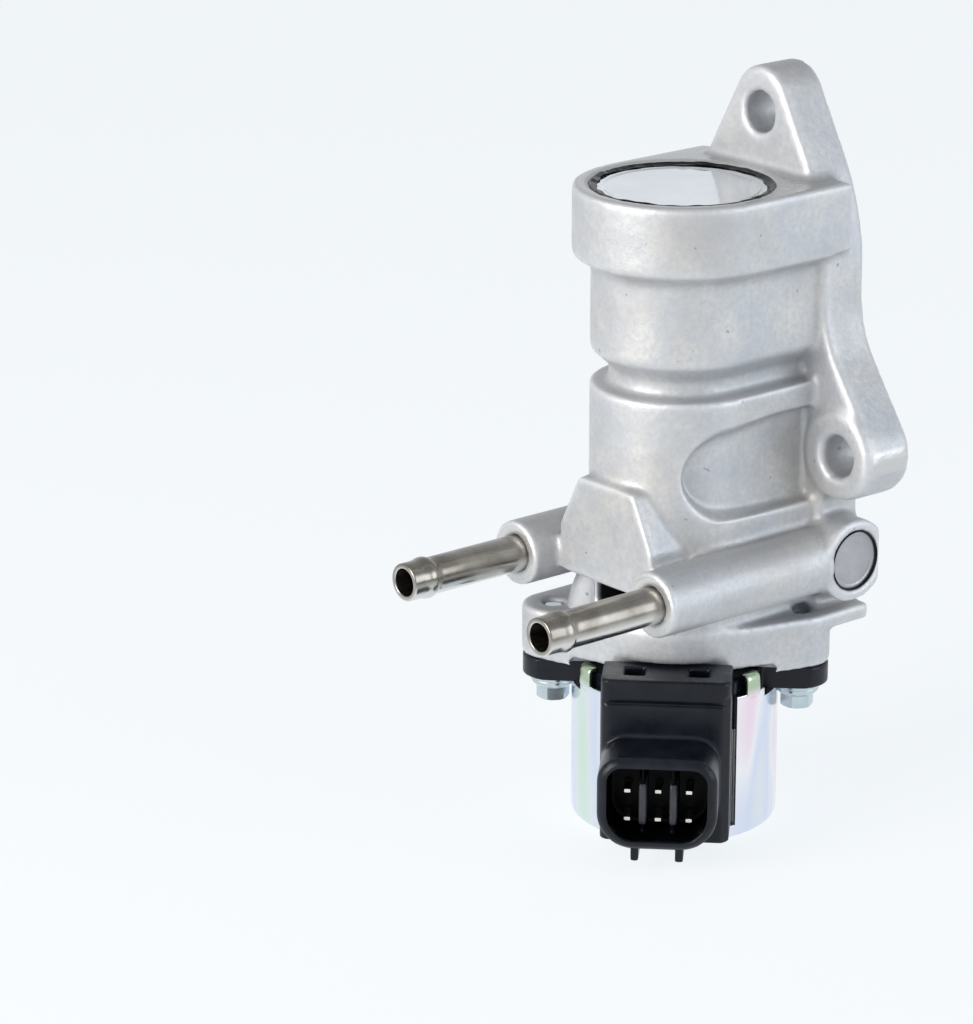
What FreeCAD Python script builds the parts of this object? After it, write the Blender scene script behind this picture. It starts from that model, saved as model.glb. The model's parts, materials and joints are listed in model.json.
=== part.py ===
import FreeCAD, Part
import math
import os
import Sketcher
from FreeCAD import Rotation, Vector

# Exhaust gas recirculation valve with a stepper motor, in millimetres.
# Z is the valve's axis, up, and the origin is at the centre of the motor can's bottom.
# The mounting face looks along +Y and the two coolant nipples point along -Y.
# The motor's own pieces are drawn with their connector along +X and turned by the heading.

# Driving dimensions: name, value, meaning
SIZES = (
    ("can_radius", 22.4, "outside of the motor can"),
    ("can_height", 28.5, "motor can, bottom to rim"),
    ("can_wall", 1.0, "sheet of the motor can"),
    ("can_edge", 1.6, "rounding of the can's bottom edge"),
    ("can_fit", 0.1, "play between the can and what it holds"),
    ("tab_width", 4.4, "crimp tab of the can"),
    ("tab_hook", 2.4, "crimp tab bent over the plastic flange"),
    ("tab_notch", 7.6, "notch in the plastic flange round a tab"),
    ("tab_angle", 52, "crimp tab from the connector's heading, degrees"),
    ("heading", -45, "connector's heading from +X, degrees"),
    ("flange_gap", 2.0, "rim of the can to the plastic flange"),
    ("flange_thickness", 4.8, "plastic flange"),
    ("flange_radius", 21.0, "round part of the plastic flange"),
    ("screw_offset", 26.5, "flange screw from the axis"),
    ("lobe_radius", 6.8, "screw lobe of the casting"),
    ("flange_lobe_radius", 6.6, "screw lobe of the plastic flange"),
    ("box_offset", -0.5, "connector box to one side of its heading"),
    ("box_width", 27.5, "connector box, across"),
    ("box_front", 28.7, "front of the connector box from the axis"),
    ("box_low", 3.2, "underside of the connector box"),
    ("box_rise", 4.2, "connector box above the flange"),
    ("box_corner", 2.0, "rounding of the connector box"),
    ("shell_offset", -1.4, "connector shell to one side of its heading"),
    ("shell_width", 25.3, "connector shell, across"),
    ("shell_low", 6.2, "underside of the connector shell"),
    ("shell_height", 20.5, "connector shell"),
    ("shell_reach", 12.8, "connector shell before the box"),
    ("shell_wall", 2.1, "wall of the connector shell"),
    ("shell_corner", 5.5, "rounding of the connector shell"),
    ("prong_spacing", 9.4, "two prongs under the connector shell"),
    ("prong_width", 1.7, "prong under the connector shell"),
    ("prong_height", 3.4, "prong under the connector shell"),
    ("slot_spacing", 13.6, "two slots in the box's top"),
    ("slot_width", 4.2, "slot in the box's top"),
    ("slot_depth", 3.0, "slot in the box's top"),
    ("socket_floor", 1.6, "plastic behind the connector's cavity"),
    ("pin_drop", 2.0, "pins under the shell's middle"),
    ("pin_pitch", 6.5, "terminal pins, across"),
    ("pin_rows", 6.3, "terminal pins, up"),
    ("pin_size", 1.1, "side of a terminal pin"),
    ("pin_length", 15.0, "terminal pin"),
    ("rib_width", 1.0, "rib between two columns of pins"),
    ("rib_reach", 6.0, "rib before the cavity's floor"),
    ("spigot_radius", 11.7, "plastic spigot in the casting's bore"),
    ("spigot_height", 4.0, "plastic spigot"),
    ("oring_wire", 1.6, "section of the flange's seal ring"),
    ("screw_size", 5.0, "flange screw's thread"),
    ("screw_head", 8.0, "flange screw's hexagon"),
    ("head_height", 4.6, "flange screw's head"),
    ("washer_radius", 5.1, "flange screw's washer"),
    ("washer_thickness", 1.0, "flange screw's washer"),
    ("base_thickness", 11.5, "foot of the casting"),
    ("foot_radius", 19.8, "round front of the foot"),
    ("relief_depth", 2.1, "relief in the foot's underside over the crimp tabs"),
    ("relief_inner", 16.5, "relief, inside"),
    ("relief_outer", 24.2, "relief, outside"),
    ("relief_half", 7.5, "half the width of the bar left between the reliefs"),
    ("base_side", 25.5, "straight side of the foot's shelf from the axis"),
    ("shelf_thickness", 3.6, "shelf behind the screw lobes"),
    ("shelf_corner", 0.8, "rounding of the shelf's rear corners"),
    ("body_radius", 19.0, "round front of the casting"),
    ("body_height", 62.2, "foot to the ledge under the neck"),
    ("neck_radius", 15.0, "neck between the two gas chambers"),
    ("neck_height", 4.0, "straight part of the neck"),
    ("shoulder_height", 3.5, "slope above the neck"),
    ("column_height", 18.0, "upper chamber's outside, up to the collar"),
    ("collar_radius", 23.0, "collar at the top"),
    ("collar_slope", 2.5, "slope under the collar"),
    ("collar_height", 14.8, "straight part of the collar"),
    ("collar_reach", 27.4, "collar's flat flanks, back from the axis"),
    ("plate_front", 21.6, "front of the mounting plate from the axis"),
    ("plate_thickness", 11.8, "mounting plate"),
    ("plate_half", 21.2, "half the mounting plate's width beside the body"),
    ("ear_hole", 9.0, "bolt hole of an ear"),
    ("ear_radius", 9.7, "ear round its hole"),
    ("top_ear_radius", 8.1, "upper ear's round end"),
    ("top_ear_crown", 1.9, "upper ear's round end above its hole"),
    ("waist_radius", 24.0, "hollow curve of the plate above a lower ear"),
    ("plate_curve", 50.0, "long curve of the plate beside the collar"),
    ("ear_spacing", 53.6, "lower bolt holes, across"),
    ("ear_rise", 47.1, "lower bolt holes above the foot"),
    ("top_ear_rise", 69.7, "upper bolt hole above the lower ones"),
    ("port_radius", 10.0, "gas ports in the mounting face"),
    ("lower_port_drop", 13.3, "lower port under the ledge"),
    ("upper_port_rise", 18.2, "upper port above the shoulder"),
    ("lower_chamber_radius", 14.0, "lower gas chamber"),
    ("lower_chamber_height", 22.0, "lower gas chamber"),
    ("upper_chamber_radius", 15.5, "upper gas chamber"),
    ("chamber_roof", 2.5, "metal between the lower chamber and the ledge"),
    ("plug_bore", 19.4, "machined bore of the top plug"),
    ("plug_depth", 6.3, "collar's top down to the plug's seat"),
    ("plug_thickness", 4.3, "top plug"),
    ("plug_radius", 17.3, "top plug's bright disc"),
    ("seal_gap", 0.1, "play round the top plug's seal"),
    ("coolant_rise", 23.2, "coolant nipples above the foot"),
    ("nipple_spacing", 44.0, "coolant nipples, across"),
    ("nipple_boss", 7.1, "round boss of a nipple"),
    ("nipple_socket", 27.0, "face of a nipple's boss from the axis"),
    ("nipple_radius", 4.0, "outside of a nipple"),
    ("nipple_wall", 1.0, "wall of a nipple"),
    ("nipple_length", 30.4, "nipple outside its boss"),
    ("nipple_seat", 8.0, "nipple inside its boss"),
    ("bead_height", 0.55, "bead near a nipple's tip"),
    ("passage_depth", 26.0, "cross passage from the axis"),
    ("passage_boss", 9.1, "round boss of the cross passage"),
    ("passage_face", 28.5, "face of the cross passage's boss from the axis"),
    ("passage_bore", 6.5, "drilled cross passage"),
    ("passage_plug", 3.0, "plug of the cross passage"),
    ("coolant_bore", 3.2, "coolant drilling behind a nipple"),
    ("cross_bore", 2.7, "coolant drilling of the cross passage"),
    ("pad_plane", 20.6, "flat pad in front of the axis"),
    ("pad_half", 14.8, "half the flat pad's width"),
    ("pad_top_half", 9.5, "half the flat pad's width at its top"),
    ("pad_low", 20.2, "flat pad's lower edge above the foot"),
    ("pad_height", 22.5, "flat pad"),
    ("vent_width", 12.0, "vent under the flat pad"),
    ("vent_height", 5.6, "vent under the flat pad"),
    ("vent_low", 14.2, "vent's lower edge above the foot"),
    ("pad_slope", 12.4, "height of the pad's sloping shoulders"),
    ("recess_depth", 3.1, "side recess"),
    ("recess_height", 22.0, "side recess"),
    ("recess_drop", 5.0, "side recess under the ledge"),
    ("recess_front", 16.3, "front end of the side recess from the axis"),
    ("stem_chamber_radius", 12.0, "spring chamber in the foot"),
    ("stem_chamber_height", 26.0, "spring chamber"),
    ("box_wall", 4.0, "casting between the spring chamber and the connector box"),
    ("edge_round", 1.2, "rounding of the casting's outer edges"),
    ("stem_radius", 3.0, "valve stem"),
    ("stem_fit", 0.3, "play round the moving stem"),
    ("guide_radius", 6.0, "guide bush, outside"),
    ("guide_length", 14.0, "guide bush"),
    ("shield_radius", 8.5, "deposit shield on the guide bush"),
    ("shield_thickness", 1.2, "deposit shield"),
    ("seat_radius", 12.4, "valve seat ring, outside"),
    ("seat_bore", 9.5, "valve seat ring, inside"),
    ("seat_height", 4.0, "valve seat ring"),
    ("poppet_radius", 11.4, "valve head"),
    ("poppet_edge", 1.4, "rim of the valve head"),
    ("poppet_cone", 4.0, "cone above the valve head"),
    ("lift", 4.5, "travel of the valve"),
    ("tappet_gap", 5.7, "stem's lower end above the spigot"),
    ("spring_radius", 8.2, "return spring, to the middle of the wire"),
    ("spring_wire", 1.3, "wire of the return spring"),
    ("spring_turns", 4.5, "turns of the return spring"),
    ("retainer_radius", 10.0, "spring retainer"),
    ("retainer_thickness", 1.4, "spring retainer"),
    ("retainer_rise", 2.6, "spring retainer above the stem's lower end"),
    ("clip_height", 1.0, "clip under the spring retainer"),
    ("clip_radius", 5.2, "clip under the spring retainer"),
    ("seal_height", 2.0, "stem seal under the guide bush"),
    ("shaft_radius", 2.6, "lead screw"),
    ("shaft_bottom", 5.4, "lead screw's lower end at rest"),
    ("rotor_radius", 11.4, "rotor magnet, outside"),
    ("rotor_low", 4.6, "rotor magnet's lower face"),
    ("rotor_height", 19.4, "rotor magnet"),
    ("hub_radius", 7.0, "rotor hub in the magnet"),
    ("journal_radius", 4.4, "lower journal of the hub"),
    ("upper_journal_radius", 5.4, "upper journal of the hub"),
    ("bearing_width", 3.0, "bearing of the rotor"),
    ("bearing_wall", 3.4, "bearing of the rotor, ring to ring"),
    ("air_gap", 0.4, "rotor to stator"),
    ("stator_sheet", 0.9, "sheet of the stator cups"),
    ("stator_height", 11.8, "one stator cup"),
)


class Size:
    """A number of the sheet together with the expression that gives it."""

    def __init__(self, text, number):
        self.text = text
        self.number = number

    def joined(self, sign, other, number):
        return Size("(%s %s %s)" % (self.text, sign, other.text), number)

    def __add__(self, other):
        other = size(other)
        return self.joined("+", other, self.number + other.number)

    def __sub__(self, other):
        other = size(other)
        return self.joined("-", other, self.number - other.number)

    def __mul__(self, other):
        other = size(other)
        return self.joined("*", other, self.number * other.number)

    def __truediv__(self, other):
        other = size(other)
        return self.joined("/", other, self.number / other.number)

    def __radd__(self, other):
        return size(other) + self

    def __rsub__(self, other):
        return size(other) - self

    def __rmul__(self, other):
        return size(other) * self

    def __neg__(self):
        return size(0) - self


def size(value):
    """A plain number or a Size, as a Size."""
    if isinstance(value, Size):
        return value
    return Size("%.6g" % value, float(value))


class Sheet:
    """The spreadsheet of driving dimensions, read as attributes."""

    def __init__(self, document):
        self.cells = document.addObject("Spreadsheet::Sheet", "Sizes")
        for row, (alias, value, meaning) in enumerate(SIZES, 1):
            self.cells.set("A%d" % row, meaning)
            self.cells.set("B%d" % row, "%g" % value)
            self.cells.setAlias("B%d" % row, alias)
            setattr(self, alias, Size("Sizes." + alias, float(value)))


doc = FreeCAD.newDocument("exhaust_gas_recirculation_valve")
s = Sheet(doc)
doc.recompute()

# Heights above the origin, worked out once and shared by the pieces
flange_z = s.can_height + s.flange_gap
base_z = flange_z + s.flange_thickness
base_top_z = base_z + s.base_thickness
ledge_z = base_z + s.body_height
neck_top_z = ledge_z + s.neck_height
shoulder_z = neck_top_z + s.shoulder_height
collar_low_z = shoulder_z + s.column_height
collar_z = collar_low_z + s.collar_slope
top_z = collar_z + s.collar_height
mount_y = s.plate_front + s.plate_thickness
ear_z = base_z + s.ear_rise
top_ear_z = ear_z + s.top_ear_rise
coolant_z = base_z + s.coolant_rise
stem_roof_z = base_z + s.stem_chamber_height
lower_roof_z = ledge_z - s.chamber_roof
lower_floor_z = lower_roof_z - s.lower_chamber_height
lower_port_z = ledge_z - s.lower_port_drop
upper_port_z = shoulder_z + s.upper_port_rise
plug_seat_z = top_z - s.plug_depth
seat_top_z = neck_top_z + 2
spigot_z = base_z + s.spigot_height
stem_low_z = spigot_z + s.tappet_gap
retainer_z = stem_low_z + s.retainer_rise
shell_mid_z = s.shell_low + s.shell_height / 2
stator_z = s.can_wall + s.can_fit
tab_top_z = base_z + s.can_fit + s.can_wall
stator_radius = s.can_radius - s.can_wall - s.can_fit * 2
ORIGIN = (0, 0, 0)


def bind(item, prop, value):
    """Ties a property to the sheet, or sets it where it is a plain number."""
    value = size(value)
    item.setExpression(prop, value.text)


def place(item, x, y, z):
    """Ties an object's position to the sheet."""
    for letter, value in zip("xyz", (x, y, z)):
        bind(item, "Placement.Base." + letter, value)


def turn_to_heading(item, extra=0):
    """Turns an object about the valve's axis to the connector's heading."""
    item.Placement = FreeCAD.Placement(item.Placement.Base, Rotation(Vector(0, 0, 1), 30))
    bind(item, "Placement.Rotation.Angle", s.heading + extra)


def cylinder(name, radius, height, at=ORIGIN, axis="Z"):
    """A cylinder that starts at a point and runs along +X, +Y or +Z."""
    item = doc.addObject("Part::Cylinder", name)
    turns = {"X": (Vector(0, 1, 0), 90), "Y": (Vector(1, 0, 0), -90), "Z": (Vector(0, 0, 1), 0)}
    item.Placement = FreeCAD.Placement(Vector(0, 0, 0), Rotation(*turns[axis]))
    bind(item, "Radius", radius)
    bind(item, "Height", height)
    place(item, *at)
    return item


def block(name, x, y, z):
    """A box between two limits along each axis."""
    item = doc.addObject("Part::Box", name)
    for prop, (low, high) in zip(("Length", "Width", "Height"), (x, y, z)):
        bind(item, prop, size(high) - low)
    place(item, x[0], y[0], z[0])
    return item


def fuse(name, *items):
    """One solid of several that touch."""
    item = doc.addObject("Part::MultiFuse", name)
    item.Shapes = list(items)
    item.Refine = True
    return item


def cut(name, base, *tools):
    """A solid less others, taken away one after the other."""
    for tool in tools:
        item = doc.addObject("Part::Cut", name)
        item.Base = base
        item.Tool = tool
        base = item
    item.Refine = True
    return item


def named(item, label):
    """Gives a finished sub-part its label, which names its file."""
    item.Label = label
    finished.append(item)
    return item


def sketch_on(body, role, offset):
    """A sketch on one of the body's own planes, moved along the plane's normal."""
    plane = [item for item in body.Origin.OriginFeatures if item.Role == role][0]
    sketch = body.newObject("Sketcher::SketchObject", body.Name + "_sketch")
    sketch.AttachmentSupport = [(plane, "")]
    sketch.MapMode = "FlatFace"
    bind(sketch, "AttachmentOffset.Base.z", offset)
    return sketch


def pin_point(sketch, geometry, point, x, y):
    """Fixes a point of the sketch at sizes measured from the sketch's origin."""
    for kind, value in (("DistanceX", size(x)), ("DistanceY", size(y))):
        rule = Sketcher.Constraint(kind, -1, 1, geometry, point, value.number)
        bind(sketch, "Constraints[%d]" % sketch.addConstraint(rule), value)


def draw_circle(sketch, x, y, radius):
    """A circle with its centre and radius tied to the sheet."""
    x, y, radius = size(x), size(y), size(radius)
    centre = Vector(x.number, y.number, 0)
    circle = sketch.addGeometry(Part.Circle(centre, Vector(0, 0, 1), radius.number))
    pin_point(sketch, circle, 3, x, y)
    rule = Sketcher.Constraint("Radius", circle, radius.number)
    bind(sketch, "Constraints[%d]" % sketch.addConstraint(rule), radius)


def draw_outline(sketch, rounds):
    """A closed outline, anticlockwise, of straight lines tangent to the arcs in the list.

    Each entry is the x and y of an arc's centre and its radius, which is negative
    where the outline bends inwards. An entry of two numbers is a sharp corner.
    """
    arcs = [(size(r[0]), size(r[1]), size(r[2] if len(r) == 3 else 0)) for r in rounds]
    count = len(arcs)
    ends = [tangent_line(arcs[i], arcs[(i + 1) % count]) for i in range(count)]
    lines = [sketch.addGeometry(Part.LineSegment(*pair)) for pair in ends]
    for i, (x, y, radius) in enumerate(arcs):
        before, after = lines[i - 1], lines[i]
        if radius.number == 0:
            sketch.addConstraint(Sketcher.Constraint("Coincident", before, 2, after, 1))
            pin_point(sketch, after, 1, x, y)
            continue
        centre = Vector(x.number, y.number, 0)
        arrive, leave = ends[i - 1][1], ends[i][0]
        inward = radius.number < 0
        first, last = (leave, arrive) if inward else (arrive, leave)
        angles = [math.atan2(p.y - centre.y, p.x - centre.x) for p in (first, last)]
        circle = Part.Circle(centre, Vector(0, 0, 1), abs(radius.number))
        arc = sketch.addGeometry(Part.ArcOfCircle(circle, *angles))
        arc_in, arc_out = (2, 1) if inward else (1, 2)
        sketch.addConstraint(Sketcher.Constraint("Tangent", before, 2, arc, arc_in))
        sketch.addConstraint(Sketcher.Constraint("Tangent", arc, arc_out, after, 1))
        pin_point(sketch, arc, 3, x, y)
        rule = Sketcher.Constraint("Radius", arc, abs(radius.number))
        bind(sketch, "Constraints[%d]" % sketch.addConstraint(rule), -radius if inward else radius)


def tangent_line(one, two):
    """Start and end of the line that leaves one arc and meets the next."""
    (x1, y1, r1), (x2, y2, r2) = [[value.number for value in arc] for arc in (one, two)]
    along = math.atan2(y2 - y1, x2 - x1)
    along -= math.asin((r2 - r1) / math.hypot(x2 - x1, y2 - y1))
    left = Vector(-math.sin(along), math.cos(along), 0)
    return Vector(x1, y1, 0) - left * r1, Vector(x2, y2, 0) - left * r2


def slab(name, role, low, high, rounds, hole=None):
    """An outline on one of the origin planes, padded from low to high along +X, +Y or +Z."""
    body = doc.addObject("PartDesign::Body", name)
    low, high = size(low), size(high)
    sketch = sketch_on(body, role, -high if role == "XZ_Plane" else low)
    draw_outline(sketch, rounds)
    if hole:
        draw_circle(sketch, *hole)
    pad = body.newObject("PartDesign::Pad", name + "_pad")
    pad.Profile = sketch
    bind(pad, "Length", high - low)
    sketch.Visibility = False
    doc.recompute()
    return body


def turned(name, profile):
    """A closed profile of radius and height, revolved about Z."""
    body = doc.addObject("PartDesign::Body", name)
    sketch = sketch_on(body, "XZ_Plane", 0)
    draw_outline(sketch, profile)
    spin = body.newObject("PartDesign::Revolution", name + "_spin")
    spin.Profile = sketch
    spin.ReferenceAxis = (sketch, ["V_Axis"])
    spin.Angle = 360
    doc.recompute()
    return body


def ring(name, inner, outer, low, high):
    """A plain ring about Z."""
    return turned(name, ((inner, low), (outer, low), (outer, high), (inner, high)))


def edge_names(shape, wanted):
    """Names of the shape's edges whose ends and middle all pass a test."""
    names = []
    for number, edge in enumerate(shape.Edges, 1):
        points = [vertex.Point for vertex in edge.Vertexes]
        points.append(edge.valueAt((edge.FirstParameter + edge.LastParameter) / 2))
        if all(wanted(point) for point in points):
            names.append("Edge%d" % number)
    return names


def soften(body, radius, wanted):
    """Rounds the body's edges that pass a test."""
    tip = body.Tip
    fillet = body.newObject("PartDesign::Fillet", body.Name + "_round")
    fillet.Base = (tip, edge_names(tip.Shape, wanted))
    bind(fillet, "Radius", radius)
    doc.recompute()
    return body


def near(value, target):
    """Whether a coordinate lies at a size of the sheet."""
    return abs(value - size(target).number) < 1e-4


def column_solids():
    """Round front and flat flanks of the casting above its foot, of one stepped profile."""
    steps = (
        (s.body_radius, base_top_z - 1),
        (s.body_radius, ledge_z),
        (s.neck_radius, ledge_z),
        (s.neck_radius, neck_top_z),
        (s.body_radius, shoulder_z),
        (s.body_radius, collar_low_z),
        (s.collar_radius, collar_z),
        (s.collar_radius, top_z),
    )
    front = turned("column_front", ((0, base_top_z - 1),) + steps + ((0, top_z),))
    soften(front, s.edge_round / 2, lambda p: near(p.z, top_z))
    flank = steps + tuple((-width, height) for width, height in reversed(steps))
    half = s.collar_radius
    top = ((-half, collar_z), (half, collar_z), (half, top_z), (-half, top_z))
    return (
        front,
        slab("column_flanks", "XZ_Plane", 0, s.plate_front + 1, flank),
        slab("collar_flanks", "XZ_Plane", 0, s.collar_reach, top),
    )


def plate_solid():
    """Mounting plate with its three ears, seen from the front."""
    ear_x = s.ear_spacing / 2
    waist = s.plate_half + s.waist_radius
    right = (
        (ear_x, ear_z, s.ear_radius),
        (waist, ear_z + s.top_ear_rise * 7 / 15, -s.waist_radius),
        (s.plate_half - s.plate_curve, ear_z + s.top_ear_rise * 8 / 15, s.plate_curve),
        (0, top_ear_z + s.top_ear_crown, s.top_ear_radius),
    )
    left = tuple((-x, z, r) for x, z, r in reversed(right[:-1]))
    foot = s.plate_half
    under = ear_z - s.ear_radius
    low = (
        (-foot - 2, under - 2, -2),
        (-foot, base_top_z - s.shelf_thickness),
        (foot, base_top_z - s.shelf_thickness),
        (foot + 2, under - 2, -2),
    )
    plate = slab("plate", "XZ_Plane", s.plate_front, mount_y, right + left + low)
    return soften(plate, s.edge_round, lambda p: near(p.y, s.plate_front))


def base_solids():
    """Foot with its two screw lobes, and the thin shelf that runs back from them."""
    lobe = s.screw_offset * math.sqrt(0.5)
    corner = s.base_side - s.shelf_corner
    front = (
        (-lobe, -lobe, s.lobe_radius),
        (0, 0, s.foot_radius),
        (lobe, lobe, s.lobe_radius),
    )
    foot = slab("foot", "XY_Plane", base_z, base_top_z, front + ((0, 0, s.foot_radius),))
    back = (
        (corner, mount_y - s.shelf_corner, s.shelf_corner),
        (-corner, mount_y - s.shelf_corner, s.shelf_corner),
    )
    shelf = slab("shelf", "XY_Plane", base_top_z - s.shelf_thickness, base_top_z, front + back)
    return foot, shelf


def boss_solids():
    """Bosses of the two nipples and of the cross passage behind them."""
    bosses = []
    for side in (-1, 1):
        at = (s.nipple_spacing * side / 2, -s.nipple_socket, coolant_z)
        length = s.nipple_socket + s.passage_depth
        bosses.append(cylinder("nipple_boss_solid", s.nipple_boss, length, at, "Y"))
    at = (-s.passage_face + 2, s.passage_depth, coolant_z)
    across = cylinder("passage_boss_solid", s.passage_boss, s.passage_face * 2 - 2, at, "X")
    behind = block("behind_mount", (-40, 40), (mount_y, mount_y + 20), (base_z, top_z))
    bosses.append(cut("passage_boss_trimmed", across, behind))
    return bosses


def pad_solid():
    """Flat pad on the casting's front, with sloping shoulders."""
    low = base_z + s.pad_low
    top = low + s.pad_height
    rounds = (
        (-s.pad_half + 2, low + 2, 2),
        (s.pad_half - 2, low + 2, 2),
        (s.pad_half - 2, top - s.pad_slope, 2),
        (s.pad_top_half - 2, top - 2, 2),
        (-s.pad_top_half + 2, top - 2, 2),
        (-s.pad_half + 2, top - s.pad_slope, 2),
    )
    return slab("front_pad", "XZ_Plane", -s.pad_plane, -s.neck_radius / 2, rounds)


def recess_solid(side):
    """Side recess, open towards the ear, with a round front end and an even depth."""
    middle = ledge_z - s.recess_drop - s.recess_height / 2
    radius = s.recess_height / 2 - 0.5
    front = -s.recess_front + radius
    name = "recess_right" if side > 0 else "recess_left"
    rounds = (
        (front, middle, radius),
        (s.plate_front, middle - radius),
        (s.plate_front, middle + radius),
    )
    low, high = (5, 40) if side > 0 else (-40, -5)
    outline = slab(name, "YZ_Plane", low, high, rounds)
    floor = s.body_radius - s.recess_depth
    front_core = cylinder("recess_core_front", floor, s.body_height, (0, 0, base_top_z))
    flat_core = block("recess_core_flat", (-floor, floor), (0, mount_y), (base_top_z, ledge_z))
    return cut("recess_shell", outline, front_core, flat_core)


def valve_body():
    """Aluminium casting that carries everything."""
    solids = [*column_solids(), plate_solid(), *base_solids(), *boss_solids(), pad_solid()]
    outside = fuse("casting_outside", *solids)
    holes = [recess_solid(1), recess_solid(-1)]
    ear_x = s.ear_spacing / 2
    for x, z in ((-ear_x, ear_z), (ear_x, ear_z), (0, top_ear_z)):
        at = (x, s.plate_front - 5, z)
        holes.append(cylinder("ear_drill", s.ear_hole / 2, s.plate_thickness + 10, at, "Y"))
    for z in (lower_port_z, upper_port_z):
        holes.append(cylinder("port_drill", s.port_radius, mount_y + 5, (0, 0, z), "Y"))
    holes.append(turned("axis_bore", (
        (0, base_z - 1),
        (s.stem_chamber_radius, base_z - 1),
        (s.stem_chamber_radius, stem_roof_z),
        (s.guide_radius, stem_roof_z),
        (s.guide_radius, lower_floor_z),
        (s.lower_chamber_radius, lower_floor_z),
        (s.lower_chamber_radius, lower_roof_z),
        (s.seat_bore, lower_roof_z),
        (s.seat_bore, seat_top_z - s.seat_height),
        (s.seat_radius, seat_top_z - s.seat_height),
        (s.seat_radius, seat_top_z),
        (s.upper_chamber_radius, seat_top_z),
        (s.upper_chamber_radius, plug_seat_z),
        (s.plug_bore, plug_seat_z),
        (s.plug_bore, top_z + 1),
        (0, top_z + 1),
    )))
    for side in (-1, 1):
        x = s.nipple_spacing * side / 2
        at = (x, -s.nipple_socket - 1, coolant_z)
        holes.append(cylinder("nipple_drill", s.nipple_radius, s.nipple_seat + 1, at, "Y"))
        at = (x, -s.nipple_socket, coolant_z)
        length = s.nipple_socket + s.passage_depth + s.cross_bore / 2
        holes.append(cylinder("coolant_drill", s.coolant_bore, length, at, "Y"))
    at = (-s.nipple_spacing / 2, s.passage_depth, coolant_z)
    length = s.nipple_spacing / 2 + s.passage_face
    holes.append(cylinder("cross_drill", s.cross_bore, length, at, "X"))
    at = (s.passage_face - s.passage_plug - 0.8, s.passage_depth, coolant_z)
    holes.append(cylinder("plug_drill", s.passage_bore, s.passage_plug + 2, at, "X"))
    vent_z = base_z + s.vent_low
    half = s.vent_width / 2
    holes.append(block("vent", (-half, half), (-30, 0), (vent_z, vent_z + s.vent_height)))
    inside = s.stem_chamber_radius + s.box_wall
    reliefs = ring("foot_relief", s.relief_inner, s.relief_outer, base_z - 1, base_z + s.relief_depth)
    bar = block("relief_bar", (-s.relief_half, s.relief_half), (-40, 40), (base_z - 2, base_top_z))
    relief = cut("foot_reliefs", reliefs, bar)
    turn_to_heading(relief)
    holes.append(relief)
    left = s.box_offset - s.box_width / 2 - 0.4
    right = s.box_offset + s.box_width / 2 + 0.4
    corners = ((inside, left), (40, left), (40, right), (inside, right))
    step = slab("box_room", "XY_Plane", base_z - 1, base_z + s.box_rise + 0.3, corners)
    turn_to_heading(step)
    holes.append(step)
    for turn in (90, -90):
        bore = cylinder("screw_drill", s.screw_size / 2, s.base_thickness + 2)
        turn_screw(bore, turn, base_z - 1)
        holes.append(bore)
    named(cut("casting", outside, *holes), "valve_body")


def turn_screw(item, turn, z):
    """Places an object on a flange screw's axis, a quarter turn from the heading."""
    item.Placement = FreeCAD.Placement(Vector(0, 0, 0), Rotation(Vector(0, 0, 1), 30))
    bind(item, "Placement.Rotation.Angle", s.heading)
    angle = (s.heading + turn).text
    item.setExpression("Placement.Base.x", "%s * cos(%s * 1deg)" % (s.screw_offset.text, angle))
    item.setExpression("Placement.Base.y", "%s * sin(%s * 1deg)" % (s.screw_offset.text, angle))
    bind(item, "Placement.Base.z", z)


def top_plug():
    """Bright disc that closes the casting's upper bore, and the seal round it."""
    high = plug_seat_z + s.plug_thickness
    profile = (
        (0, plug_seat_z),
        (s.plug_radius, plug_seat_z),
        (s.plug_radius, high - 0.5),
        (s.plug_radius - 0.5, high),
        (0, high),
    )
    named(turned("plug", profile), "top_plug")
    inner = s.plug_radius + s.seal_gap
    outer = s.plug_bore - s.seal_gap
    named(ring("plug_seal", inner, outer, plug_seat_z, high - 0.4), "top_plug_seal")


def passage_plug():
    """Pressed plug that closes the drilled cross passage."""
    low = s.passage_face - s.passage_plug - 0.8
    at = (low, s.passage_depth, coolant_z)
    plug = cylinder("cross_plug", s.passage_bore - s.seal_gap, s.passage_plug, at, "X")
    named(plug, "passage_plug")


def nipple(label, side):
    """Coolant nipple with its bead, drawn along Z and turned to point along -Y."""
    inner = s.nipple_radius - s.nipple_wall
    outer = s.nipple_radius
    tip = s.nipple_length + s.nipple_seat
    bead = tip - 6
    profile = (
        (inner, 0),
        (outer - 0.1, 0),
        (outer - 0.1, s.nipple_seat),
        (outer, s.nipple_seat),
        (outer, bead - 3),
        (outer + s.bead_height, bead),
        (outer + s.bead_height, bead + 1.2),
        (outer, bead + 3.4),
        (outer, tip - 0.6),
        (outer - 0.5, tip),
        (inner, tip),
    )
    body = turned(label, profile)
    body.Placement = FreeCAD.Placement(Vector(0, 0, 0), Rotation(Vector(1, 0, 0), 90))
    place(body, s.nipple_spacing * side / 2, s.nipple_seat - s.nipple_socket, coolant_z)
    named(body, label)


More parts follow.
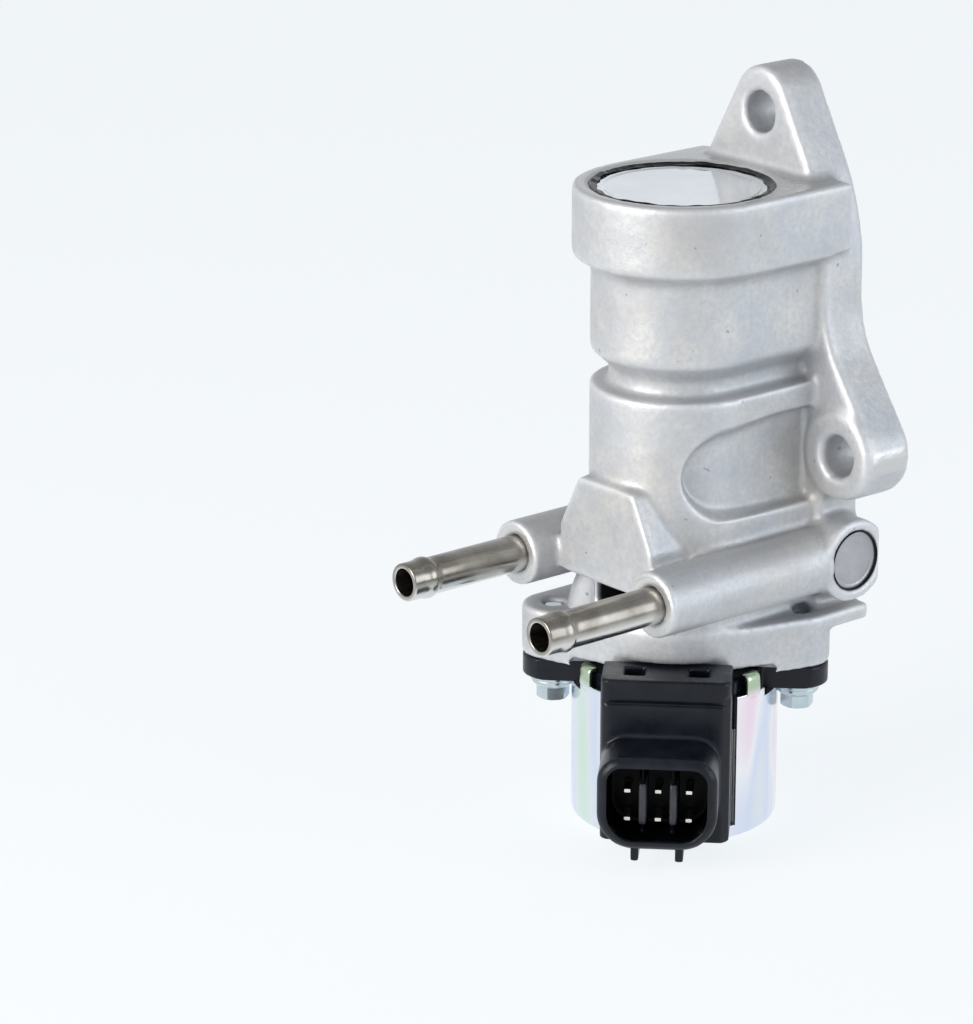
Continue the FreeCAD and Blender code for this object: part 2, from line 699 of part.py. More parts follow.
def seat_and_guide():
    """Seat ring, guide bush, deposit shield and stem seal, all fixed in the casting."""
    play = s.stem_radius + s.stem_fit
    low = seat_top_z - s.seat_height
    seat = turned("seat", (
        (s.seat_bore, low),
        (s.seat_radius - 0.05, low),
        (s.seat_radius - 0.05, seat_top_z),
        (s.seat_bore + 1.2, seat_top_z),
        (s.seat_bore, seat_top_z - 1.2),
    ))
    named(seat, "valve_seat")
    guide_top = stem_roof_z + s.guide_length
    named(ring("guide", play, s.guide_radius - 0.05, stem_roof_z, guide_top), "stem_guide")
    shield = ring("shield", play + 0.3, s.shield_radius, guide_top, guide_top + s.shield_thickness)
    named(shield, "deposit_shield")
    seal = ring("seal", play, s.guide_radius - 0.4, stem_roof_z - s.seal_height, stem_roof_z)
    named(seal, "stem_seal")


def valve_stem():
    """Stem with its head, which rests on the seat ring."""
    head = seat_top_z + s.stem_fit / 2
    stem = turned("stem", (
        (0, stem_low_z),
        (s.stem_radius - 0.6, stem_low_z),
        (s.stem_radius, stem_low_z + 0.6),
        (s.stem_radius, head - 5),
        (s.stem_radius + 3.5, head - 0.6),
        (s.poppet_radius - 1, head),
        (s.poppet_radius, head),
        (s.poppet_radius, head + s.poppet_edge),
        (s.stem_radius + 1, head + s.poppet_edge + s.poppet_cone),
        (0, head + s.poppet_edge + s.poppet_cone),
    ))
    named(stem, "valve_stem")


def spring_set():
    """Spring retainer, its clip and the return spring above it."""
    bore = s.stem_radius + 0.05
    high = retainer_z + s.retainer_thickness
    inner_lip = s.spring_radius - s.spring_wire
    retainer = turned("retainer", (
        (bore, retainer_z),
        (s.retainer_radius, retainer_z),
        (s.retainer_radius, high),
        (inner_lip, high),
        (inner_lip - 0.8, high + 1.2),
        (bore, high + 1.2),
    ))
    named(retainer, "spring_retainer")
    clip = ring("clip", bore, s.clip_radius, retainer_z - s.clip_height, retainer_z)
    named(clip, "retainer_clip")
    low = high + s.spring_wire / 2 + 0.1
    rise = stem_roof_z - 0.1 - s.spring_wire / 2 - low
    helix = doc.addObject("Part::Helix", "spring_path")
    bind(helix, "Radius", s.spring_radius)
    bind(helix, "Height", rise)
    bind(helix, "Pitch", rise / s.spring_turns)
    place(helix, 0, 0, low)
    wire = doc.addObject("Part::RegularPolygon", "spring_wire")
    wire.Polygon = 8
    bind(wire, "Circumradius", s.spring_wire / 2)
    wire.Placement = FreeCAD.Placement(Vector(0, 0, 0), Rotation(Vector(1, 0, 0), 90))
    place(wire, s.spring_radius, 0, low)
    doc.recompute()
    spring = doc.addObject("Part::Sweep", "spring")
    spring.Sections = [wire]
    spring.Spine = (helix, ["Edge1"])
    spring.Solid = True
    spring.Frenet = True
    spring.Transition = "Right corner"
    named(spring, "return_spring")


def motor_can():
    """Drawn sheet can with a cut-out for the connector box and four crimp tabs."""
    inner = s.can_radius - s.can_wall
    edge = s.can_edge
    cup = turned("can_cup", (
        (0, 0),
        (s.can_radius - edge, edge, edge),
        (s.can_radius, s.can_height),
        (inner, s.can_height),
        (inner, s.can_wall),
        (0, s.can_wall),
    ))
    tabs = []
    for angle in (s.tab_angle, -s.tab_angle, 180 - s.tab_angle, s.tab_angle - 180):
        tab = block("can_tab", (inner + 0.15, s.can_radius - 0.15),
                    (-s.tab_width / 2, s.tab_width / 2), (s.can_height - 3, tab_top_z))
        hook = block("can_hook", (inner - s.tab_hook, inner + 0.5),
                     (-s.tab_width / 2, s.tab_width / 2), (tab_top_z - s.can_wall, tab_top_z))
        whole = fuse("can_tab_bent", tab, hook)
        whole.Placement = FreeCAD.Placement(Vector(0, 0, 0), Rotation(Vector(0, 0, 1), 30))
        bind(whole, "Placement.Rotation.Angle", angle)
        tabs.append(whole)
    left = s.box_offset - s.box_width / 2 - s.can_fit
    right = s.box_offset + s.box_width / 2 + s.can_fit
    window = block("can_window", (5, 40), (left, right), (s.box_low - s.can_fit, 60))
    item = named(cut("can", fuse("can_shell", cup, *tabs), window), "motor_can")
    turn_to_heading(item)


def connector_housing():
    """Plastic flange, connector box and socket shell, moulded in one piece."""
    flange = slab("flange_disc", "XY_Plane", flange_z, base_z, (
        (0, -s.screw_offset, s.flange_lobe_radius),
        (0, 0, s.flange_radius),
        (0, s.screw_offset, s.flange_lobe_radius),
        (0, 0, s.flange_radius),
    ))
    collar = s.can_radius - s.can_wall - s.can_fit
    bearing = s.upper_journal_radius + s.bearing_wall
    low = stator_z + s.stator_height * 2 + s.can_fit
    core = turned("flange_core", (
        (0, low),
        (collar, low),
        (collar, flange_z + 1),
        (s.spigot_radius, flange_z + 1),
        (s.spigot_radius, spigot_z - 0.5),
        (s.spigot_radius - 0.5, spigot_z),
        (0, spigot_z),
    ))
    bore = turned("flange_bore", (
        (0, low - 1),
        (bearing + 0.05, low - 1),
        (bearing + 0.05, flange_z + 0.6),
        (s.shaft_radius + 1.2, flange_z + 0.6),
        (s.shaft_radius + 1.2, spigot_z + 1),
        (0, spigot_z + 1),
    ))
    left = s.box_offset - s.box_width / 2
    right = s.box_offset + s.box_width / 2
    corner = s.box_corner
    inside = s.stem_chamber_radius + s.box_wall + 0.4
    box = slab("connector_box", "XY_Plane", s.box_low, base_z + s.box_rise, (
        (inside, left),
        (s.box_front - corner, left + corner, corner),
        (s.box_front - corner, right - corner, corner),
        (inside, right),
    ))
    shell = shell_solid("connector_shell", 0, s.box_front - 2, s.box_front + s.shell_reach)
    floor = s.box_front + s.socket_floor
    cavity = shell_solid("connector_cavity", s.shell_wall, floor, s.box_front + s.shell_reach + 1)
    prongs = []
    for side in (-1, 1):
        y = s.shell_offset + s.prong_spacing * side / 2
        prongs.append(block("prong", (s.box_front - 1, s.box_front + s.shell_reach - 2.5),
                            (y - s.prong_width / 2, y + s.prong_width / 2),
                            (s.shell_low - s.prong_height, s.shell_low + 0.5)))
    outside = fuse("housing_outside", flange, core, box, shell, *prongs)
    slots = []
    for side in (-1, 1):
        y = s.box_offset + s.slot_spacing * side / 2
        slots.append(block("top_slot", (s.box_front - 9, s.box_front - 4),
                           (y - s.slot_width / 2, y + s.slot_width / 2),
                           (base_z + s.box_rise - s.slot_depth, base_z + s.box_rise + 1)))
    groove_z = base_z - 1.4
    groove = block("box_groove", (s.box_front - 0.7, s.box_front + 1), (left, right),
                   (groove_z, groove_z + 0.8))
    seal_mid = base_z + s.spigot_height / 2
    seal_room = ring("seal_room", s.stem_chamber_radius - s.oring_wire - 0.1, s.spigot_radius + 1,
                     seal_mid - s.oring_wire / 2 - 0.1, seal_mid + s.oring_wire / 2 + 0.1)
    bores = [cylinder("flange_drill", s.screw_size / 2 + 0.25, 20, (0, side * s.screw_offset, s.can_height))
             for side in (-1, 1)]
    half = s.tab_notch / 2
    inside = s.can_radius - s.can_wall - s.tab_hook / 3
    corners = ((inside, -half), (40, -half), (40, half), (inside, half))
    notches = []
    for angle in (s.tab_angle, -s.tab_angle, 180 - s.tab_angle, s.tab_angle - 180):
        notch = slab("tab_notch", "XY_Plane", s.can_height, 50, corners)
        notch.Placement = FreeCAD.Placement(Vector(0, 0, 0), Rotation(Vector(0, 0, 1), 30))
        bind(notch, "Placement.Rotation.Angle", angle)
        notches.append(notch)
    stator_room = cylinder("stator_room", stator_radius + s.can_fit, low, (0, 0, 0))
    tools = (stator_room, bore, cavity, *slots, groove, seal_room, *bores, *notches)
    hollow = cut("housing_hollow", outside, *tools)
    ribs = []
    inner = s.shell_low + s.shell_wall
    for side in (-1, 1):
        middle = s.shell_offset + s.pin_pitch * side / 2
        ribs.append(block("socket_rib", (floor - 0.5, floor + s.rib_reach),
                          (middle - s.rib_width / 2, middle + s.rib_width / 2),
                          (inner - 0.5, inner + s.shell_height - s.shell_wall * 2 + 1)))
    item = fuse("housing_ribbed", hollow, *ribs)
    pins = [pin_block(column, row) for column in (-1, 0, 1) for row in (-1, 1)]
    item = named(cut("housing", item, *pins), "connector_housing")
    turn_to_heading(item)


def shell_solid(name, inset, low, high):
    """Rounded rectangle of the connector's shell, drawn in from its outside by the inset."""
    left = s.shell_offset - s.shell_width / 2 + s.shell_corner
    right = s.shell_offset + s.shell_width / 2 - s.shell_corner
    bottom = s.shell_low + s.shell_corner
    top = s.shell_low + s.shell_height - s.shell_corner
    radius = s.shell_corner - inset
    rounds = (
        (left, bottom, radius),
        (right, bottom, radius),
        (right, top, radius),
        (left, top, radius),
    )
    return slab(name, "YZ_Plane", low, high, rounds)


def pin_block(column, row, label="pin_seat"):
    """Square terminal pin in the connector, or the hole that it is moulded in."""
    y = s.shell_offset + s.pin_pitch * column
    z = shell_mid_z - s.pin_drop + s.pin_rows * row / 2
    half = s.pin_size / 2
    start = s.box_front - 4
    corners = (
        (y - half, z - half),
        (y + half, z - half),
        (y + half, z + half),
        (y - half, z + half),
    )
    return slab(label, "YZ_Plane", start, start + s.pin_length, corners)


def terminal_pins():
    """Six terminal pins in three columns and two rows."""
    for column in (-1, 0, 1):
        for row in (-1, 1):
            pin = pin_block(column, row, "pin")
            number = (column + 1) * 2 + (row + 1) // 2 + 1
            turn_to_heading(named(pin, "terminal_pin_%d" % number))


def flange_seal():
    """Seal ring in the groove of the plastic spigot, of eight-sided section."""
    half = s.oring_wire / 2
    corner = half / 2
    middle = base_z + s.spigot_height / 2
    inner = s.stem_chamber_radius - 0.05 - s.oring_wire
    outer = s.stem_chamber_radius - 0.05
    seal = turned("seal_ring", (
        (inner + corner, middle - half),
        (outer - corner, middle - half),
        (outer, middle - corner),
        (outer, middle + corner),
        (outer - corner, middle + half),
        (inner + corner, middle + half),
        (inner, middle + corner),
        (inner, middle - corner),
    ))
    named(seal, "flange_seal_ring")


def flange_screws():
    """Two hexagon screws that hold the motor to the casting, each with its washer."""
    washer_low = flange_z - s.washer_thickness
    for name, turn in (("right", 90), ("left", -90)):
        head = doc.addObject("Part::Prism", "screw_head")
        head.Polygon = 6
        bind(head, "Circumradius", s.screw_head / math.sqrt(3))
        bind(head, "Height", s.head_height)
        place(head, 0, 0, -s.head_height)
        shank = cylinder("screw_shank", s.screw_size / 2 - 0.05,
                         s.washer_thickness + s.flange_thickness + s.base_thickness - 0.3, (0, 0, -0.5))
        screw = fuse("screw", head, shank)
        turn_screw(screw, turn, washer_low)
        named(screw, "flange_screw_" + name)
        washer = ring("washer", s.screw_size / 2 + 0.1, s.washer_radius, 0, s.washer_thickness)
        turn_screw(washer, turn, washer_low)
        named(washer, "washer_" + name)


def stator(label, low):
    """Stator cup with its winding inside."""
    inner = s.rotor_radius + s.air_gap
    outer = stator_radius
    sheet = s.stator_sheet
    high = low + s.stator_height
    cup = ring("stator_cup", inner, outer, low, high)
    room = ring("coil_room", inner + sheet, outer - sheet, low + sheet, high - sheet)
    named(cut("stator", cup, room), label + "_stator")
    gap = 0.05
    coil = ring("coil", inner + sheet + gap, outer - sheet - gap, low + sheet + gap, high - sheet - gap)
    named(coil, label + "_coil")


def rotor():
    """Ring magnet on a hub that turns in two bearings and drives the lead screw."""
    low = s.rotor_low
    high = low + s.rotor_height
    hub = s.hub_radius
    named(ring("magnet", hub + 0.03, s.rotor_radius, low, high), "rotor_magnet")
    bore = s.shaft_radius + s.stem_fit
    journal_top = flange_z - 0.2
    body = turned("hub", (
        (0, s.can_wall + 0.3),
        (s.journal_radius, s.can_wall + 0.3),
        (s.journal_radius, low - 0.3),
        (hub, low - 0.3),
        (hub, high + 0.3),
        (s.upper_journal_radius, high + 1.2),
        (s.upper_journal_radius, journal_top),
        (bore, journal_top),
        (bore, s.shaft_bottom - 0.6),
        (0, s.shaft_bottom - 0.6),
    ))
    named(body, "rotor_hub")
    play = s.can_fit
    lower = ring("lower_bearing_ring", s.journal_radius + play, s.journal_radius + s.bearing_wall,
                 s.can_wall, s.can_wall + s.bearing_width)
    named(lower, "lower_bearing")
    upper = ring("upper_bearing_ring", s.upper_journal_radius + play,
                 s.upper_journal_radius + s.bearing_wall, flange_z - s.bearing_width, flange_z + 0.5)
    named(upper, "upper_bearing")
    shaft = turned("shaft", (
        (0, s.shaft_bottom),
        (s.shaft_radius - 0.4, s.shaft_bottom),
        (s.shaft_radius, s.shaft_bottom + 0.4),
        (s.shaft_radius, stem_low_z - 0.8),
        (s.shaft_radius - 0.8, stem_low_z),
        (0, stem_low_z),
    ))
    named(shaft, "lead_screw")


finished = []
valve_body()
top_plug()
passage_plug()
nipple("coolant_nipple_left", -1)
nipple("coolant_nipple_right", 1)
seat_and_guide()
valve_stem()
spring_set()
motor_can()
connector_housing()
terminal_pins()
flange_seal()
flange_screws()
stator("lower", stator_z)
stator("upper", stator_z + s.stator_height)
rotor()
doc.recompute()

# Every object is checked before anything is written
for item in doc.Objects:
    if "Invalid" in item.State or "Error" in item.State:
        raise RuntimeError("%s failed: %s" % (item.Name, item.State))
for item in finished:
    if item.Shape.isNull() or not item.Shape.isValid():
        raise RuntimeError(item.Label + " has no valid shape")
os.makedirs("parts", exist_ok=True)
for item in finished:
    item.Shape.exportStep("parts/%s.step" % item.Label)
    print("%-22s %9.1f mm3, solids %d" % (item.Label, item.Shape.Volume, len(item.Shape.Solids)))
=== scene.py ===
# %% [markdown]
# # An exhaust gas recirculation valve
#
# The valve is an aluminium casting with an eared mounting plate, a bright plug on top, two steel
# coolant nipples, and a stepper motor in a zinc-plated can below, with a black connector at its side.
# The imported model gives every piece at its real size. This lesson dresses it: cast and machined
# metal, plated sheet, drawn tube, moulded plastic and rubber.

# %% Load the frame
import json
import math

import bmesh
import bpy
import numpy as np
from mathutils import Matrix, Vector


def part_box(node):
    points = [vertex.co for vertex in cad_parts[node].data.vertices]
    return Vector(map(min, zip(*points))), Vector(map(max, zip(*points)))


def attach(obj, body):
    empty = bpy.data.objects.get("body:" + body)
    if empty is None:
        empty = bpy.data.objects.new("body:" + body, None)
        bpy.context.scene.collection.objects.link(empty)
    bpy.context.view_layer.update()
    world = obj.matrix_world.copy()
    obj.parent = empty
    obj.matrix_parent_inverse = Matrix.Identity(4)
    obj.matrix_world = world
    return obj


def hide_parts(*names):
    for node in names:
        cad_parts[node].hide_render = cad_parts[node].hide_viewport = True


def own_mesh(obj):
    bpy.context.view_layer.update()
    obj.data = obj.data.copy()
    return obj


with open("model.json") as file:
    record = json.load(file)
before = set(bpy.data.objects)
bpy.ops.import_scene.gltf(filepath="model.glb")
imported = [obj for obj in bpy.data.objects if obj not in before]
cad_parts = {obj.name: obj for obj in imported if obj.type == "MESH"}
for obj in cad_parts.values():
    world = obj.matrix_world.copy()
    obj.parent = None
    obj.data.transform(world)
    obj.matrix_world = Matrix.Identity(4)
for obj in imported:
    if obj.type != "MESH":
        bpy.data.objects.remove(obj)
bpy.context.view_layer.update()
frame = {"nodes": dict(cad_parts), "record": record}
nodes = frame["nodes"]
MM = 0.001

# %% [markdown]
# ## Reading sizes from the frame
#
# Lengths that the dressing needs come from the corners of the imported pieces, so the new surfaces
# stay seated if the model changes. `centre` is the middle of a node's box and `corners_of` gives its
# lowest and highest corner. The valve stands on z = 0 around the z axis. Its connector heads out halfway
# between +x and -y: `forward` is that way, `across` is square to it.

# %% Sizes and directions


def centre(name):
    low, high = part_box(name)
    return np.array((low + high) / 2)


def corners_of(name):
    return [np.array(corner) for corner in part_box(name)]


TOP = 140.3 * MM
HEADING = math.radians(-45)
DIAGONAL = math.sqrt(0.5)
forward = np.array((math.cos(HEADING), math.sin(HEADING), 0))
across = np.array((-math.sin(HEADING), math.cos(HEADING), 0))
upward = np.array((0, 0, 1.0))
body_low, body_high = corners_of("valve_body")
print("casting from", body_low.round(4), "to", body_high.round(4))

# %% [markdown]
# ## A short way to write node materials
#
# Every finish is a small tree of shader nodes. `add` makes one node, sets its options and fills its
# sockets by name, with a number, a colour or the output of another node. Patterns read Object
# coordinates in metres, so a scale of 1000 gives features about one millimetre wide.

# %% Node helpers


def add(tree, kind, options=None, **sockets):
    made = tree.nodes.new("ShaderNode" + kind)
    for name, value in (options or {}).items():
        setattr(made, name, value)
    for name, value in sockets.items():
        target = made.inputs[name.replace("_", " ")]
        if isinstance(value, bpy.types.NodeSocket):
            tree.links.new(value, target)
        else:
            target.default_value = value
    return made


def new_material(name):
    material = bpy.data.materials.new(name)
    material.use_nodes = True
    material.node_tree.nodes.clear()
    return material, material.node_tree


def colour(r, g, b):
    return (r, g, b, 1.0)


def coordinates(tree, stretch=(1, 1, 1)):
    """Object coordinates, multiplied by a stretch along each axis."""
    where = add(tree, "TexCoord").outputs["Object"]
    return add(tree, "Mapping", Vector=where, Scale=stretch).outputs["Vector"]


def noise(tree, vector, scale, detail=4.0, roughness=0.55):
    made = add(tree, "TexNoise", Vector=vector, Scale=scale, Detail=detail, Roughness=roughness)
    return made.outputs["Fac"]


def ramp(tree, factor, stops):
    """Colour ramp with (position, colour) stops."""
    made = add(tree, "ValToRGB", Fac=factor)
    bar = made.color_ramp
    while len(bar.elements) < len(stops):
        bar.elements.new(0.5)
    for element, (position, shade) in zip(bar.elements, stops):
        element.position = position
        element.color = shade
    return made.outputs["Color"]


def between(tree, value, low, high, to_low=0.0, to_high=1.0):
    """Linear change of a value from one range to another, clamped."""
    made = add(tree, "MapRange", Value=value, From_Min=low, From_Max=high, To_Min=to_low, To_Max=to_high)
    return made.outputs["Result"]


def mix(tree, factor, first, second, blend="MIX"):
    made = add(tree, "MixRGB", {"blend_type": blend}, Fac=factor, Color1=first, Color2=second)
    return made.outputs["Color"]


def maths(tree, operation, first, second=0.0):
    made = add(tree, "Math", {"operation": operation})
    for socket, value in zip(made.inputs, (first, second)):
        if isinstance(value, bpy.types.NodeSocket):
            tree.links.new(value, socket)
        else:
            socket.default_value = value
    return made.outputs["Value"]


def bump(tree, height, distance, strength=1.0, under=None):
    made = add(tree, "Bump", Height=height, Distance=distance, Strength=strength)
    if under is not None:
        tree.links.new(under, made.inputs["Normal"])
    return made.outputs["Normal"]


def surface(tree, **sockets):
    shader = add(tree, "BsdfPrincipled", **sockets)
    add(tree, "OutputMaterial", Surface=shader.outputs["BSDF"])


# %% [markdown]
# ## Cast aluminium
#
# Die-cast aluminium is matte and slightly cloudy: cool grey with warmer patches, a fine grain from the
# mould, and lighter edges, partly polished by handling and partly a painted highlight. Faces that seal or
# seat are cut bright by a machine. One material does both: a mask finds points that lie on a machined
# plane and whose normal looks out of it, and there the grain gives way to fine turning marks. Creases
# are painted darker as painted shade, and faces that look up are painted darker as painted shade, where
# little light falls from above. Brown stains spread in slow patches. The room around the spring, within a
# radius and half its height up and down from a level, is painted almost black as painted shade, as one
# sees it through the vent.

# %% Casting material


def plane_mask(tree, position, normal, axis, value, width=0.25 * MM):
    """One on a plane across an axis at a value, where the surface looks along the axis."""
    near = maths(tree, "ABSOLUTE", maths(tree, "SUBTRACT", position[axis], value))
    close = between(tree, near, width, width * 2, 1.0, 0.0)
    facing = between(tree, maths(tree, "ABSOLUTE", normal[axis]), 0.93, 0.98)
    return maths(tree, "MULTIPLY", close, facing)


ROOM_RADIUS, ROOM_LEVEL, ROOM_HALF = 17.9 * MM, 48.0 * MM, 12.0 * MM


def cast_aluminium():
    material, tree = new_material("cast_aluminium_finish")
    where = coordinates(tree)
    split = add(tree, "SeparateXYZ", Vector=where)
    position = [split.outputs[i] for i in range(3)]
    geometry = add(tree, "NewGeometry")
    split = add(tree, "SeparateXYZ", Vector=geometry.outputs["Normal"])
    normal = [split.outputs[i] for i in range(3)]
    cloud = noise(tree, where, 90.0, 8.0, 0.65)
    base = ramp(tree, cloud, (
        (0.32, colour(0.49, 0.51, 0.54)),
        (0.50, colour(0.56, 0.57, 0.58)),
        (0.66, colour(0.63, 0.62, 0.60)),
    ))
    stain = noise(tree, where, 42.0, 6.0, 0.62)
    base = mix(tree, between(tree, stain, 0.50, 0.66, 0.0, 0.38), base, colour(0.43, 0.40, 0.36))
    grain = noise(tree, where, 2600.0, 3.0)
    speck = noise(tree, where, 900.0, 2.0)
    base = mix(tree, between(tree, speck, 0.35, 0.68, 0.0, 0.5), base, colour(0.44, 0.45, 0.48))
    pit = noise(tree, where, 420.0, 2.0, 0.4)
    base = mix(tree, between(tree, pit, 0.745, 0.775, 0.0, 0.6), base, colour(0.16, 0.16, 0.17))
    # Lighter edges: partly polished by handling, partly a painted highlight.
    edge = between(tree, geometry.outputs["Pointiness"], 0.50, 0.56)
    base = mix(tree, maths(tree, "MULTIPLY", edge, 0.75), base, colour(0.78, 0.79, 0.81))
    # Painted shade: creases, where pointiness is low, are darkened.
    crease = between(tree, geometry.outputs["Pointiness"], 0.44, 0.495, 1.0, 0.0)
    base = mix(tree, maths(tree, "MULTIPLY", crease, 0.55), base, colour(0.30, 0.31, 0.32))
    machined = plane_mask(tree, position, normal, 2, TOP)
    for axis, value in ((1, body_high[1]), (1, body_low[1]), (0, body_high[0])):
        machined = maths(tree, "MAXIMUM", machined, plane_mask(tree, position, normal, axis, value))
    base = mix(tree, machined, base, colour(0.62, 0.62, 0.61))
    # Painted shade: faces that look up are darkened, as little light falls on them from above.
    base = mix(tree, between(tree, normal[2], 0.85, 0.97, 0.0, 0.35), base, colour(0.36, 0.36, 0.36))
    # Painted shade: the room around the spring is painted almost black, as seen through the vent.
    squares = [maths(tree, "MULTIPLY", position[axis], position[axis]) for axis in (0, 1)]
    radius = maths(tree, "SQRT", maths(tree, "ADD", *squares))
    level = maths(tree, "ABSOLUTE", maths(tree, "SUBTRACT", position[2], ROOM_LEVEL))
    painted_room_shade = maths(tree, "MULTIPLY", between(tree, radius, ROOM_RADIUS - 0.8 * MM, ROOM_RADIUS, 1.0, 0.0),
                 between(tree, level, ROOM_HALF - 1.0 * MM, ROOM_HALF, 1.0, 0.0))
    base = mix(tree, maths(tree, "MULTIPLY", painted_room_shade, 0.97), base, colour(0.010, 0.009, 0.008))
    rough = between(tree, grain, 0.3, 0.7, 0.42, 0.60)
    rough = mix(tree, machined, rough, colour(0.24, 0.24, 0.24))
    coarse = noise(tree, where, 260.0, 3.0)
    relief = bump(tree, coarse, 0.3 * MM, 0.45)
    grip = maths(tree, "SUBTRACT", 0.8, maths(tree, "MULTIPLY", machined, 0.65))
    relief = bump(tree, grain, 0.05 * MM, grip, relief)
    surface(tree, Base_Color=base, Metallic=0.6, Roughness=rough, Normal=relief)
    return material


finishes = {"cast_aluminium": cast_aluminium()}

# %% [markdown]
# ## Turned, drawn and plated metal
#
# The other metals share one recipe: a colour that drifts a little, fine streaks along the direction of
# drawing or turning, and a roughness that follows the streaks. Only the numbers differ. The tubes are
# painted lighter underneath, as a painted reflection of the pale table.

# %% Streaked metals


def streaked_metal(name, light, dark, rough, stretch, depth=0.015, drift=120.0, under=None):
    """Metal with streaks drawn out along the axis of the smallest stretch; with `under`, a lighter colour
    painted underneath as a painted reflection of the table.
    """
    material, tree = new_material(name)
    streak = noise(tree, coordinates(tree, stretch), 1.0, 3.0)
    cloud = noise(tree, coordinates(tree), drift, 3.0)
    base = mix(tree, between(tree, cloud, 0.3, 0.7), dark, light)
    base = mix(tree, between(tree, streak, 0.35, 0.65, 0.0, 0.3), base, dark)
    # Painted reflection: the underside is painted in a lighter colour, as if it mirrored the table.
    if under is not None:
        facing = add(tree, "SeparateXYZ", Vector=add(tree, "NewGeometry").outputs["Normal"]).outputs["Z"]
        base = mix(tree, between(tree, facing, 0.10, -0.30), base, under)
    shine = between(tree, streak, 0.3, 0.7, rough * 0.75, rough * 1.3)
    relief = bump(tree, streak, depth * MM, 0.6)
    surface(tree, Base_Color=base, Metallic=1.0, Roughness=shine, Normal=relief)
    return material


ALONG_Y = (900, 14, 900)
AROUND_Z = (120, 120, 4000)
EVERY_WAY = (1800, 1800, 1800)
finishes.update({
    "bright_steel": streaked_metal("bright_steel_finish", colour(0.80, 0.82, 0.84),
                                   colour(0.72, 0.74, 0.77), 0.09, EVERY_WAY, 0.002),
    # Painted reflection: the tube's underside is painted lighter, as if it mirrored the table.
    "stainless_tube": streaked_metal("stainless_finish", colour(0.42, 0.40, 0.37),
                                     colour(0.20, 0.18, 0.15), 0.22, ALONG_Y,
                                     under=colour(0.70, 0.69, 0.67)),
    "valve_steel": streaked_metal("valve_steel_finish", colour(0.46, 0.46, 0.48),
                                  colour(0.34, 0.34, 0.36), 0.42, EVERY_WAY, 0.03),
    "sintered_bronze": streaked_metal("bronze_finish", colour(0.52, 0.38, 0.20),
                                      colour(0.36, 0.25, 0.13), 0.45, EVERY_WAY, 0.03),
    "zinc_steel": streaked_metal("zinc_finish", colour(0.70, 0.76, 0.78), colour(0.46, 0.56, 0.60),
                                 0.22, (300, 300, 300), 0.01),
    "spring_steel": streaked_metal("spring_finish", colour(0.34, 0.34, 0.36),
                                   colour(0.20, 0.20, 0.21), 0.30, EVERY_WAY),
    "stator_sheet": streaked_metal("stator_finish", colour(0.46, 0.46, 0.46),
                                   colour(0.34, 0.34, 0.34), 0.35, AROUND_Z),
    "copper_wire": streaked_metal("copper_finish", colour(0.62, 0.27, 0.12),
                                  colour(0.42, 0.16, 0.07), 0.30, (60, 60, 6000), 0.08),
    "bearing_steel": streaked_metal("bearing_finish", colour(0.66, 0.66, 0.67),
                                    colour(0.52, 0.52, 0.53), 0.16, AROUND_Z),
    "pin_metal": streaked_metal("pin_finish", colour(0.86, 0.85, 0.80), colour(0.70, 0.68, 0.62),
                                0.16, EVERY_WAY, 0.003),
    "ferrite": streaked_metal("ferrite_finish", colour(0.10, 0.10, 0.10), colour(0.06, 0.06, 0.06),
                              0.55, EVERY_WAY, 0.03),
})

# %% [markdown]
# ## Iridescent zinc sheet
#
# The can is drawn from steel sheet and zinc plated. The passivated zinc shows soft bands of blue,
# lilac, pink and green, and its crimp tabs, which were bent afterwards, look yellow-green above their
# roots. The bands are one slow noise sent through a colour ramp.

# %% Can material
TAB_ROOT, TAB_BEND = 31.6 * MM, 33.6 * MM


def zinc_sheet():
    material, tree = new_material("zinc_sheet_finish")
    bands = noise(tree, coordinates(tree, (52, 52, 10)), 1.0, 2.0)
    base = ramp(tree, bands, (
        (0.32, colour(0.66, 0.84, 0.70)),
        (0.41, colour(0.78, 0.82, 0.86)),
        (0.49, colour(0.70, 0.76, 0.90)),
        (0.56, colour(0.88, 0.88, 0.90)),
        (0.63, colour(0.88, 0.70, 0.82)),
        (0.70, colour(0.86, 0.84, 0.72)),
    ))
    height = add(tree, "SeparateXYZ", Vector=coordinates(tree)).outputs["Z"]
    tab = between(tree, height, TAB_ROOT, TAB_BEND)
    base = mix(tree, tab, base, colour(0.46, 0.56, 0.40))
    wipe = noise(tree, coordinates(tree, (150, 150, 1400)), 1.0, 3.0)
    shine = between(tree, wipe, 0.3, 0.7, 0.16, 0.28)
    relief = bump(tree, wipe, 0.01 * MM, 0.5)
    surface(tree, Base_Color=base, Metallic=1.0, Roughness=shine, Normal=relief)
    return material


finishes["zinc_sheet"] = zinc_sheet()

# %% [markdown]
# ## Moulded plastic and rubber
#
# The connector is black glass-filled nylon: nearly black, with a bluish sheen where light grazes it,
# and a very fine grain. Inside the deep socket the colour is painted black and dull, as painted shade.
# Rubber is softer and duller, and the sealant is lumpy and glossy.

# %% Plastic and rubber materials
SOCKET_MOUTH, SOCKET_DEEP = 41.5 * MM, 18.0 * MM
SOCKET_SIDE, SOCKET_WIDE = -1.4 * MM, 10.75 * MM
SOCKET_LEVEL, SOCKET_HIGH = 16.45 * MM, 8.3 * MM


